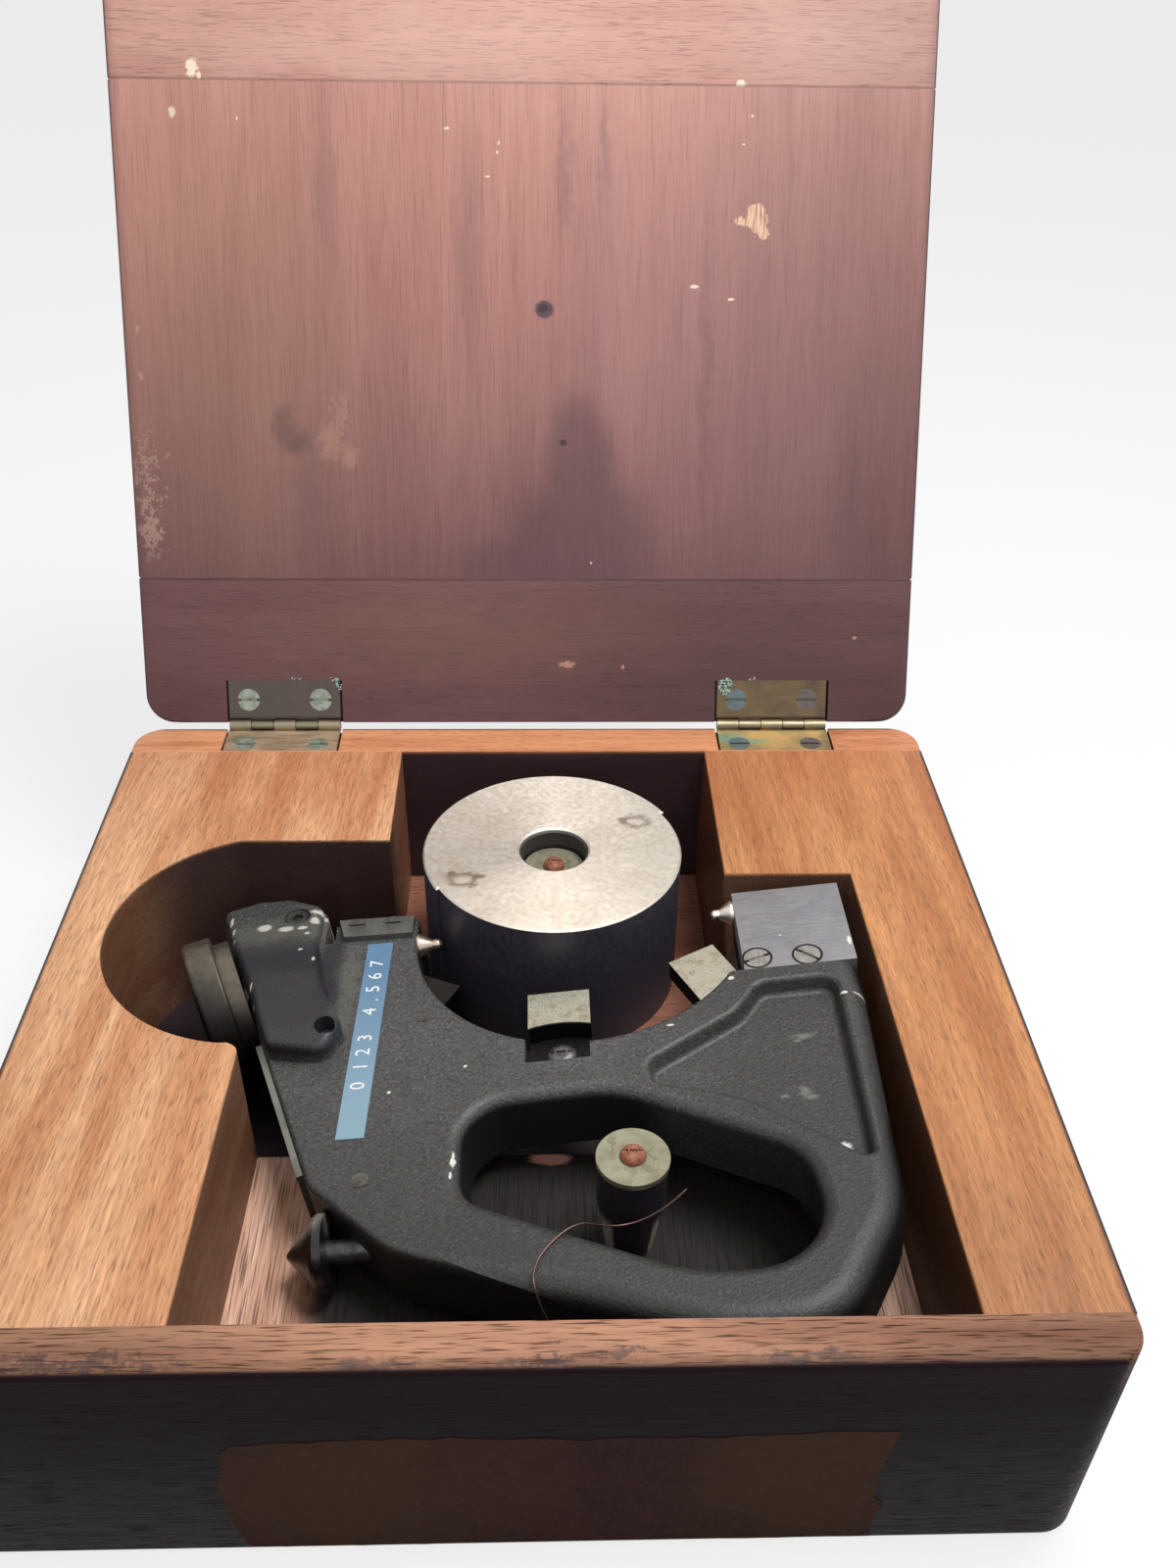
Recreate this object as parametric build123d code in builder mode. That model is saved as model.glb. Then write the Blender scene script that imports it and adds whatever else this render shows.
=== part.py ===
from build123d import *
from math import cos, radians, sin, sqrt, tan
import os

# Fitted mahogany case for a dial indicator gauge and its round setting master.
# Millimetres, X right, Y back, Z up, origin at the centre of the case's underside.
# The lid is built standing open, and the gauge lies tilted in its pocket.

# Case boards and the solid ends of the box
front_board_t = 12.0
back_board_t = 14.3
bottom_board_t = 19.0
rest_board_t = 10.0
corner_r = 9.0
left_wall = 13.0
right_wall = 34.6
lid_clear = 0.95
label_w = 147.0
label_x = 6.5
label_t = 0.3
label_drop_left = 23.7
label_drop_right = 28.3

# Lid boards
lid_t = 12.4
lid_rail_w = 46.8
lid_side_inset = 2.3
lid_gap = 0.3
lid_open = 116.3

# Hinges
hinge_length = 36.5
hinge_inset = 29.5
leaf_w = 14.9
leaf_t = 1.5
knuckle_r = 2.1
knuckle_count = 5
knuckle_gap = 0.3
knuckle_room = 0.35
hinge_pin_r = 1.2
hinge_pin_fit = 0.05
hinge_pin_back = 1.15
mortise_extra = 1.6

# Slotted countersunk screws
hinge_screw_head_r = 3.6
hinge_screw_head_h = 1.4
hinge_screw_shank_r = 1.2
hinge_screw_length = 9.5
hinge_screw_spacing = 23.6
case_screw_reach = 10.8
lid_screw_reach = 8.6
block_screw_head_r = 3.6
plate_screw_head_r = 2.9
small_screw_head_h = 1.2
small_screw_shank_r = 1.0
slot_w = 0.9
slot_depth = 0.6

# Gauge frame, measured on its own top face: a to the right, b to the back
gauge_roll = 7.0
gauge_yaw = 0.45
frame_t = 20.6
arm_reach = 77.8
handle_reach = 127.9
flank_turn = 20.1
flank_a = 95.5
flank_b = 1.7
throat_r = 48.2
throat_a = 3.0
throat_b = 12.2
throat_lip = 4.2
arm_top_b = 17.4
left_arm_top_b = 21.4
frame_edge_r = 1.6
handle_edge_r = 3.4
handle_round = 7.0
recess_depth = 5.0
recess_taper = 14.0
recess_edge_r = 1.5
rest_reach = 77.3
seat_gap = 0.3
handle_clear = 0.6
pocket_to_gauge = 84.5
arm_clear = 4.3
cowl_h = 7.5
cowl_nose_h = 2.6
cowl_screw_floor = 1.4
cowl_edge_r = 2.5
side_plate_t = 1.6
side_plate_w = 17.0
side_plate_near = -22.0
side_plate_far = -72.5
tape_w = 7.3
tape_length = 74.2
tape_t = 0.3
cowl_screw_shank_r = 1.6
cowl_screw_length = 6.0
cowl_screw_head_h = 3.0
dowel_r = 2.2
dowel_length = 12.0

# Measuring line and its spindle
axis_depth = 4.4
tip_b = 13.8
fixed_tip_length = 6.7
moving_tip_length = 7.2
moving_tip_rest = 0.4
tip_ball_r = 1.5
tip_base_r = 3.6
tip_shank_r = 2.0
tip_shank_length = 8.0
spindle_r = 3.0
spindle_fit = 0.06
spindle_nose_r = 1.2
spindle_nose_length = 4.0
anvil_travel = 2.0
block_t = 10.0
block_front_b = -15.7
block_right_inset = 0.2
guide_plate_t = 2.0

# Rest pads round the throat
pad_w = 17.2
pad_depth = 6.5
pad_t = 6.0
pad_foot_t = 4.0
pad_length = 32.6
pad_head = 13.5
pad_in_wall = 6.6
pad_a = -4.9
pad_screw_ahead = 6.0
side_pad_w = 14.3
side_pad_length = 18.6
pad_screw_r = 4.3
pad_screw_h = 2.6

# Dial indicator on the slanted left flank
case_r = 19.0
case_w_back = 8.0
bezel_start = 4.4
bezel_r = 21.5
bezel_w = 8.4
bezel_lip = 1.1
dial_fit = 0.08
dial_plate_t = 0.6
crystal_t = 1.3
hand_t = 0.5
hand_length = 15.5
arbor_r = 0.8
stem_r = 4.75
stem_length = 7.0
plunger_r = 2.0
plunger_fit = 0.05
dial_b = -4.0

# Transfer lever under the cowl
lever_t = 3.0
lever_h = 6.0
lever_u = 12.0
lever_pivot_v = -14.0
lever_tail_v = 20.0
lever_pin_r = 1.5
lever_pin_fit = 0.05
lever_boss_r = 3.2
touch_gap = 0.3
lever_room_side = 4.5
lever_room_depth = 10.0

# Retracting knob at the front left corner
knob_r = 9.6
knob_half_angle = 49.0
knob_skirt = 2.5
knob_room = 0.5
knob_apex_a = -73.2
knob_b = -88.4
knob_depth = 11.2
knob_shaft_r = 3.0
knob_shaft_length = 19.0

# Setting master
master_r = 39.2
master_step = 1.0
master_step_turn = 29.0
master_h = 47.2
master_bore_r = 9.75
master_chamfer = 1.2
master_side_clear = 9.8
master_back_clear = 9.4
master_tip_clear = 1.73
master_from_cutout = 79.7

# Pockets sawn in the solid ends
cutout_r = 43.6
cutout_chord = 41.5
cutout_ahead = 3.1
pocket_side_back = 84.5
pocket_side_front = 85.9
pocket_ramp_ahead = 52.5
rest_back_ahead = 49.0
notch_behind = 4.0
notch_skew = 2.1
ledge_start = 47.5
ledge_front = -25.0
ledge_clear = 0.3

# Posts that locate the master and the gauge's handle
washer_r = 9.0
washer_t = 1.6
post_screw_r = 3.2
post_screw_h = 2.2
post_shank_r = 1.5
post_shank_length = 16.0
master_post_r = 8.2
master_post_top = 60.0
handle_post_r = 8.6
handle_post_top = 61.0
handle_post_foot_r = 6.0
handle_post_neck = 12.0
handle_post_ahead = 77.5
handle_post_aside = 13.2
wire_r = 0.25


def csk_blank(head_r, head_h, shank_r, length):
    # Countersunk screw without its slot, head's face at height 0; it also cuts its own seat
    with BuildPart() as body:
        with BuildSketch(Plane.XZ):
            with BuildLine():
                Polyline((0, 0), (head_r, 0), (shank_r, -head_h), (shank_r, -length), (0, -length), close=True)
            make_face()
        revolve(axis=Axis.Z)
    return body.part


def csk_screw(head_r, head_h, shank_r, length):
    with BuildPart() as body:
        add(csk_blank(head_r, head_h, shank_r, length))
        with BuildSketch():
            Rectangle(2 * head_r + 1, slot_w)
        extrude(amount=-slot_depth, mode=Mode.SUBTRACT)
    return body.part


def round_screw(head_r, head_h, shank_r, length):
    # Round-head screw that stands on height 0
    with BuildPart() as body:
        with BuildSketch(Plane.XZ):
            with BuildLine():
                Polyline((head_r * 0.3, head_h), (0, head_h), (0, -length), (shank_r, -length), (shank_r, 0))
                Polyline((shank_r, 0), (head_r, 0), (head_r, head_h * 0.3))
                ThreePointArc((head_r, head_h * 0.3), (head_r * 0.76, head_h * 0.8), (head_r * 0.3, head_h))
            make_face()
        revolve(axis=Axis.Z)
        with BuildSketch(Plane.XY.offset(head_h)):
            Rectangle(2 * head_r + 1, slot_w)
        extrude(amount=-slot_depth, mode=Mode.SUBTRACT)
    return body.part


def save(piece, name):
    piece.part.label = name
    export_step(piece.part, f"parts/{name}.step")


os.makedirs("parts", exist_ok=True)

# Places that follow from the sizes above
roll_cos = cos(radians(gauge_roll))
roll_sin = sin(radians(gauge_roll))
rest_top = bottom_board_t + rest_board_t
gauge_z = rest_top + seat_gap + frame_t * roll_cos + rest_reach * roll_sin
master_bottom = bottom_board_t + seat_gap
master_top = master_bottom + master_h
case_h = max(gauge_z + arm_reach * roll_sin, master_top) + lid_clear
notch_reach = arm_reach * roll_cos + arm_clear
case_w = left_wall + cutout_r + pocket_to_gauge + notch_reach + right_wall
cutout_x = -case_w / 2 + left_wall + cutout_r
gauge_x = cutout_x + pocket_to_gauge
master_x = cutout_x + master_from_cutout
arm_inner_a = throat_a + throat_r - throat_lip
fixed_tip_end = arm_inner_a - fixed_tip_length
moving_base = throat_a - throat_r - moving_tip_rest
moving_tip_end = moving_base + moving_tip_length
tip_aside = gauge_x + moving_tip_end * roll_cos - master_x
master_ahead = tip_b + sqrt((master_r + master_tip_clear) ** 2 - tip_aside**2)
contents_d = handle_clear + handle_reach + master_ahead + master_r + master_back_clear
case_d = front_board_t + contents_d + back_board_t
front_inner = front_board_t - case_d / 2
back_inner = case_d / 2 - back_board_t
gauge_y = front_inner + handle_clear + handle_reach
master_y = gauge_y + master_ahead
cutout_y = gauge_y - cutout_ahead
chord_y = cutout_y + cutout_chord
notch_back = gauge_y + arm_top_b + notch_behind
notch_x = gauge_x + notch_reach
recess_left = master_x - master_r - master_side_clear
recess_right = master_x + master_r + master_side_clear + 0.4
pocket_left_back = gauge_x - pocket_side_back
pocket_left_front = gauge_x - pocket_side_front
ramp_y = gauge_y - pocket_ramp_ahead
rest_back = gauge_y - rest_back_ahead
block_h = case_h - bottom_board_t

# The throat's deepest point, and the centre rest pad that straddles it
throat_foot = throat_b - throat_r
pad_back_b = throat_foot - pad_in_wall
pad_inner_b = pad_back_b + pad_length
pad_step_b = pad_inner_b - pad_head
pad_screw_b = throat_foot + pad_screw_ahead

# The gauge's own plane: its top face, tilted as it lies in the case
tilt_x = Vector(roll_cos, 0, roll_sin).rotate(Axis.Z, gauge_yaw)
tilt_z = Vector(-roll_sin, 0, roll_cos).rotate(Axis.Z, gauge_yaw)
gauge = Plane(origin=(gauge_x, gauge_y, gauge_z), x_dir=tilt_x, z_dir=tilt_z)
tilt = Axis(gauge.origin, gauge.z_dir)


def at(a, b, c=0.0):
    return gauge.from_local_coords(Vector(a, b, c))


def facing(a, b, c, turn):
    # A plane through (a, b, c) that faces along the gauge, turned from a towards b
    normal = gauge.x_dir.rotate(Axis((0, 0, 0), gauge.z_dir), turn)
    return Plane(origin=at(a, b, c), x_dir=gauge.z_dir, z_dir=normal)


def flank(b):
    return -flank_a - tan(radians(flank_turn)) * (b - flank_b)


# The indicator's axis meets the flank here; u runs inward and v back along the flank
dial_a = flank(dial_b)
flank_cos = cos(radians(flank_turn))
flank_sin = sin(radians(flank_turn))


def along(u, v):
    return dial_a + u * flank_cos - v * flank_sin, dial_b + u * flank_sin + v * flank_cos


inward = facing(dial_a, dial_b, -axis_depth, flank_turn)
outward = facing(dial_a, dial_b, -axis_depth, flank_turn + 180)
flank_top = Plane(origin=at(dial_a, dial_b), x_dir=inward.z_dir, z_dir=gauge.z_dir)
spindle_line = facing(0, tip_b, -axis_depth, 0)
lever_face_u = lever_u + lever_t / 2
spindle_u = lever_face_u + touch_gap
spindle_v = (tip_b - dial_b - spindle_u * flank_sin) / flank_cos
spindle_end = along(spindle_u, spindle_v)[0]
lever_room_v = lever_tail_v + 3.0

knob_cone_h = knob_r / tan(radians(knob_half_angle))
knob_base_a = knob_apex_a + knob_cone_h + knob_skirt + knob_room

# Screws and dowels in the gauge's top: place in a, b and height
block_screw_size = (block_screw_head_r, small_screw_head_h, small_screw_shank_r, block_t + 5)
plate_screw_size = (plate_screw_head_r, small_screw_head_h, small_screw_shank_r, guide_plate_t + 5)
block_screw_places = ((50.9, -11.4, 0), (64.6, -12.0, 0))
plate_screw_places = ((-63.1, 18.4, guide_plate_t), (-52.4, 17.9, guide_plate_t))
dowel_places = ((-41.1, -21.2, 0), (-53.6, -76.5, 0))
cowl_screw_places = ((-80.9, 23.6, 0, 3.9), (-66.2, -28.0, 0, 2.8))

# The lid's plane is its inner face, standing open
pin_y = case_d / 2 + hinge_pin_back
pin_z = case_h + lid_gap / 2
lid_turn = radians(lid_open)
lid_plane = Plane(
    origin=(0, pin_y, pin_z), x_dir=(1, 0, 0), z_dir=(0, -sin(lid_turn), -cos(lid_turn))
)
lid_face = lid_plane.offset(-lid_gap / 2)
rim = Plane.XY.offset(case_h)
rim_at_pin = Plane(origin=(0, pin_y, case_h))
hinge_x = case_w / 2 - hinge_inset - hinge_length / 2
hinge_xs = (-hinge_x, hinge_x)
knuckle_pitch = hinge_length / knuckle_count
mortise_length = hinge_length + mortise_extra


def knuckle_hollows(plane):
    # Room for the knuckles in the edge of a board, along the pin
    with BuildPart() as hollows:
        for x in hinge_xs:
            middle = plane.from_local_coords((x, 0, lid_gap / 2))
            with BuildSketch(Plane(origin=middle, x_dir=plane.y_dir, z_dir=(1, 0, 0))):
                Circle(knuckle_r + knuckle_room)
            extrude(amount=mortise_length / 2, both=True)
    return hollows.part


def screw_places(plane, reach):
    # Both screws of both hinges, on the face of a board
    return [
        plane.location * Location((x + side * hinge_screw_spacing / 2, reach, 0))
        for x in hinge_xs
        for side in (-1, 1)
    ]


def leaf(plane, own, x, side, reach):
    # One hinge leaf: a plate let into its board, with every other knuckle
    plate_start = knuckle_r + knuckle_room
    with BuildPart() as piece:
        with BuildSketch(plane):
            with Locations((x, side * (plate_start + leaf_w) / 2)):
                Rectangle(hinge_length, leaf_w - plate_start)
            for i in own:
                middle = x + (i - (knuckle_count - 1) / 2) * knuckle_pitch
                with Locations((middle, side * plate_start / 2)):
                    Rectangle(knuckle_pitch - knuckle_gap, plate_start)
        extrude(amount=-leaf_t)
        for i in own:
            middle = x + (i - (knuckle_count - 1) / 2) * knuckle_pitch
            centre = plane.from_local_coords((middle, 0, lid_gap / 2))
            with BuildSketch(Plane(origin=centre, x_dir=plane.y_dir, z_dir=(1, 0, 0))):
                Circle(knuckle_r)
            extrude(amount=(knuckle_pitch - knuckle_gap) / 2, both=True)
        centre = plane.from_local_coords((x, 0, lid_gap / 2))
        with BuildSketch(Plane(origin=centre, x_dir=plane.y_dir, z_dir=(1, 0, 0))):
            Circle(hinge_pin_r + hinge_pin_fit)
        extrude(amount=hinge_length, both=True, mode=Mode.SUBTRACT)
        with Locations(*screw_places(plane, side * reach)):
            add(hinge_blank, mode=Mode.SUBTRACT)
    return piece


hinge_screw_size = (hinge_screw_head_r, hinge_screw_head_h, hinge_screw_shank_r, hinge_screw_length)
hinge_blank = csk_blank(*hinge_screw_size)
hinge_screw = csk_screw(*hinge_screw_size)

# Case front and back boards, rounded at the case's four corners
with BuildPart() as front_board:
    with BuildSketch():
        with Locations((0, front_inner - front_board_t / 2)):
            Rectangle(case_w, front_board_t)
    extrude(amount=case_h)
    fillet(front_board.edges().filter_by(Axis.Z).group_by(Axis.Y)[0], corner_r)
save(front_board, "front_board")

with BuildPart() as back_board:
    with BuildSketch():
        with Locations((0, back_inner + back_board_t / 2)):
            Rectangle(case_w, back_board_t)
    extrude(amount=case_h)
    fillet(back_board.edges().filter_by(Axis.Z).group_by(Axis.Y)[-1], corner_r)
    with BuildSketch(rim_at_pin):
        with Locations(*[(x, -leaf_w / 2) for x in hinge_xs]):
            Rectangle(mortise_length, leaf_w)
    extrude(amount=-leaf_t, mode=Mode.SUBTRACT)
    add(knuckle_hollows(rim_at_pin), mode=Mode.SUBTRACT)
    with Locations(*screw_places(rim_at_pin, -case_screw_reach)):
        add(hinge_blank, mode=Mode.SUBTRACT)
save(back_board, "back_board")

# Bottom board between them, and the raised board that the gauge's handle end lies on
with BuildPart() as bottom_board:
    with BuildSketch():
        with Locations((0, (front_inner + back_inner) / 2)):
            Rectangle(case_w, back_inner - front_inner)
    extrude(amount=bottom_board_t)
save(bottom_board, "bottom_board")

# Left end of the box: one block sawn out for the indicator, the gauge and the master
with BuildPart() as left_block:
    with BuildSketch(Plane.XY.offset(bottom_board_t)):
        with BuildLine():
            Polyline(
                (-case_w / 2, front_inner),
                (pocket_left_front, front_inner),
                (pocket_left_back, ramp_y),
                (recess_left, ramp_y),
                (recess_left, back_inner),
                (-case_w / 2, back_inner),
                close=True,
            )
        make_face()
        with Locations((cutout_x, cutout_y)):
            Circle(cutout_r, mode=Mode.SUBTRACT)
        with Locations((cutout_x, (ramp_y + chord_y) / 2)):
            Rectangle(
                2 * (recess_left - cutout_x), chord_y - ramp_y, align=(Align.MIN, Align.CENTER), mode=Mode.SUBTRACT
            )
        with BuildLine():
            Polyline(
                (cutout_x - cutout_r * 0.8, chord_y),
                (recess_left, chord_y),
                (recess_left, cutout_y + cutout_r),
                (cutout_x - cutout_r * 0.8, cutout_y + cutout_r),
                close=True,
            )
        make_face()
    extrude(amount=block_h)
save(left_block, "left_block")

# Right end: a notch for the gauge's arm and a ledge that carries it
ledge_x = gauge_x + ledge_start
ledge_under_a = (ledge_x - gauge_x - frame_t * roll_sin) / roll_cos
ledge_top = gauge_z - frame_t * roll_cos + ledge_under_a * roll_sin - ledge_clear
with BuildPart() as right_block:
    with BuildSketch(Plane.XY.offset(bottom_board_t)):
        with BuildLine():
            Polyline(
                (case_w / 2, front_inner),
                (notch_x + notch_skew, front_inner),
                (notch_x, notch_back),
                (recess_right, notch_back),
                (recess_right, back_inner),
                (case_w / 2, back_inner),
                close=True,
            )
        make_face()
    extrude(amount=block_h)
    with BuildSketch(Plane.XY.offset(bottom_board_t)):
        with BuildLine():
            Polyline(
                (ledge_x, gauge_y + ledge_front),
                (notch_x + notch_skew, gauge_y + ledge_front),
                (notch_x, notch_back),
                (ledge_x, notch_back),
                close=True,
            )
        make_face()
    extrude(amount=ledge_top - bottom_board_t)
save(right_block, "right_block")

with BuildPart() as rest_board:
    with BuildSketch(Plane.XY.offset(bottom_board_t)):
        with BuildLine():
            Polyline(
                (pocket_left_front, front_inner),
                (notch_x + notch_skew, front_inner),
                (notch_x + notch_skew, rest_back),
                (pocket_left_back, rest_back),
                (pocket_left_back, ramp_y),
                close=True,
            )
        make_face()
    extrude(amount=rest_board_t)
    add(right_block.part, mode=Mode.SUBTRACT)
save(rest_board, "rest_board")

# Paper label pasted on the front, its top edge cut aslant
with BuildPart() as paper_label:
    with BuildSketch(Plane(origin=(label_x, -case_d / 2, 0), x_dir=(1, 0, 0), z_dir=(0, -1, 0))):
        with BuildLine():
            Polyline(
                (-label_w / 2, 1),
                (label_w / 2, 1),
                (label_w / 2, case_h - label_drop_right),
                (-label_w / 2, case_h - label_drop_left),
                close=True,
            )
        make_face()
    extrude(amount=label_t)
save(paper_label, "paper_label")

# Posts that stand in the master's bore and in the gauge's handle
handle_post_x = gauge_x + handle_post_aside
handle_post_y = gauge_y - handle_post_ahead
post_places = ((master_x, master_y, master_post_top), (handle_post_x, handle_post_y, handle_post_top))
with BuildPart() as master_post:
    with BuildSketch(Plane.XY.offset(bottom_board_t)):
        with Locations((master_x, master_y)):
            Circle(master_post_r)
            Circle(post_shank_r, mode=Mode.SUBTRACT)
    extrude(amount=master_post_top - washer_t - bottom_board_t)
save(master_post, "master_post")

with BuildPart() as handle_post:
    post_h = handle_post_top - washer_t - rest_top
    with BuildSketch(Plane(origin=(handle_post_x, handle_post_y, rest_top), x_dir=(1, 0, 0), z_dir=(0, -1, 0))):
        with BuildLine():
            Polyline(
                (post_shank_r, 0),
                (handle_post_foot_r, 0),
                (handle_post_r, post_h - handle_post_neck),
                (handle_post_r, post_h),
                (post_shank_r, post_h),
                close=True,
            )
        make_face()
    revolve(axis=Axis((handle_post_x, handle_post_y, 0), (0, 0, 1)))
save(handle_post, "handle_post")

with BuildPart() as post_washers:
    for x, y, top in post_places:
        with BuildSketch(Plane.XY.offset(top)):
            with Locations((x, y)):
                Circle(washer_r)
                Circle(post_shank_r, mode=Mode.SUBTRACT)
        extrude(amount=-washer_t)
save(post_washers, "post_washers")

post_screw = round_screw(post_screw_r, post_screw_h, post_shank_r, post_shank_length)
with BuildPart() as post_screws:
    with Locations(*post_places):
        add(post_screw)
save(post_screws, "post_screws")

# Hinges: leaves let into both boards, a pin through the knuckles
case_knuckles = range(0, knuckle_count, 2)
lid_knuckles = range(1, knuckle_count, 2)
for name, x in (("left", -hinge_x), ("right", hinge_x)):
    save(leaf(rim_at_pin, case_knuckles, x, -1, case_screw_reach), f"hinge_case_leaf_{name}")
    save(leaf(lid_face, lid_knuckles, x, 1, lid_screw_reach), f"hinge_lid_leaf_{name}")

with BuildPart() as hinge_pins:
    for x in hinge_xs:
        with BuildSketch(Plane(origin=(x, pin_y, pin_z), x_dir=(0, 1, 0), z_dir=(1, 0, 0))):
            Circle(hinge_pin_r)
        extrude(amount=(hinge_length - knuckle_gap) / 2, both=True)
save(hinge_pins, "hinge_pins")

with BuildPart() as hinge_case_screws:
    with Locations(*screw_places(rim_at_pin, -case_screw_reach)):
        add(hinge_screw)
save(hinge_case_screws, "hinge_case_screws")

with BuildPart() as hinge_lid_screws:
    with Locations(*screw_places(lid_face, lid_screw_reach)):
        add(hinge_screw)
save(hinge_lid_screws, "hinge_lid_screws")

# Lid: a centre panel between two rails that hold it flat
lid_w = case_w - 2 * lid_side_inset
lid_start = hinge_pin_back
lid_end = case_d + hinge_pin_back
rail_middle = lid_start + lid_rail_w / 2
with BuildPart() as lid_rear_rail:
    with BuildSketch(lid_face) as plan:
        with Locations((0, rail_middle)):
            Rectangle(lid_w, lid_rail_w)
        fillet(plan.vertices().group_by(Axis.Y)[0], corner_r)
    extrude(amount=-lid_t)
    with BuildSketch(lid_face):
        with Locations(*[(x, leaf_w / 2) for x in hinge_xs]):
            Rectangle(mortise_length, leaf_w)
    extrude(amount=-leaf_t, mode=Mode.SUBTRACT)
    add(knuckle_hollows(lid_face), mode=Mode.SUBTRACT)
    with Locations(*screw_places(lid_face, lid_screw_reach)):
        add(hinge_blank, mode=Mode.SUBTRACT)
save(lid_rear_rail, "lid_rear_rail")

with BuildPart() as lid_front_rail:
    with BuildSketch(lid_face) as plan:
        with Locations((0, lid_end - lid_rail_w / 2)):
            Rectangle(lid_w, lid_rail_w)
        fillet(plan.vertices().group_by(Axis.Y)[-1], corner_r)
    extrude(amount=-lid_t)
save(lid_front_rail, "lid_front_rail")

with BuildPart() as lid_panel:
    with BuildSketch(lid_face):
        with Locations((0, (lid_start + lid_end) / 2)):
            Rectangle(lid_w, lid_end - lid_start - 2 * lid_rail_w)
    extrude(amount=-lid_t)
save(lid_panel, "lid_panel")

# Setting master: a ring whose front half is ground to a smaller radius
with BuildPart() as setting_master:
    centre = (master_x, master_y)
    with BuildSketch(Plane.XY.offset(master_bottom)):
        with Locations(centre):
            Circle(master_r)
        with BuildLine():
            ring_out = CenterArc(centre, master_r + 1, master_step_turn + 180, 180)
            ring_in = CenterArc(centre, master_r - master_step, master_step_turn + 180, 180)
            Line(ring_out @ 0, ring_in @ 0)
            Line(ring_out @ 1, ring_in @ 1)
        make_face(mode=Mode.SUBTRACT)
    extrude(amount=master_h)
    chamfer(setting_master.faces().sort_by(Axis.Z)[-1].edges(), 0.5)
    with Locations((master_x, master_y, master_top)):
        CounterSinkHole(master_bore_r, master_bore_r + master_chamfer, counter_sink_angle=90)
save(setting_master, "setting_master")

def height(edge):
    # Height of an edge's middle over the gauge's top face
    return gauge.to_local_coords(edge.position_at(0.5)).Z


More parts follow.
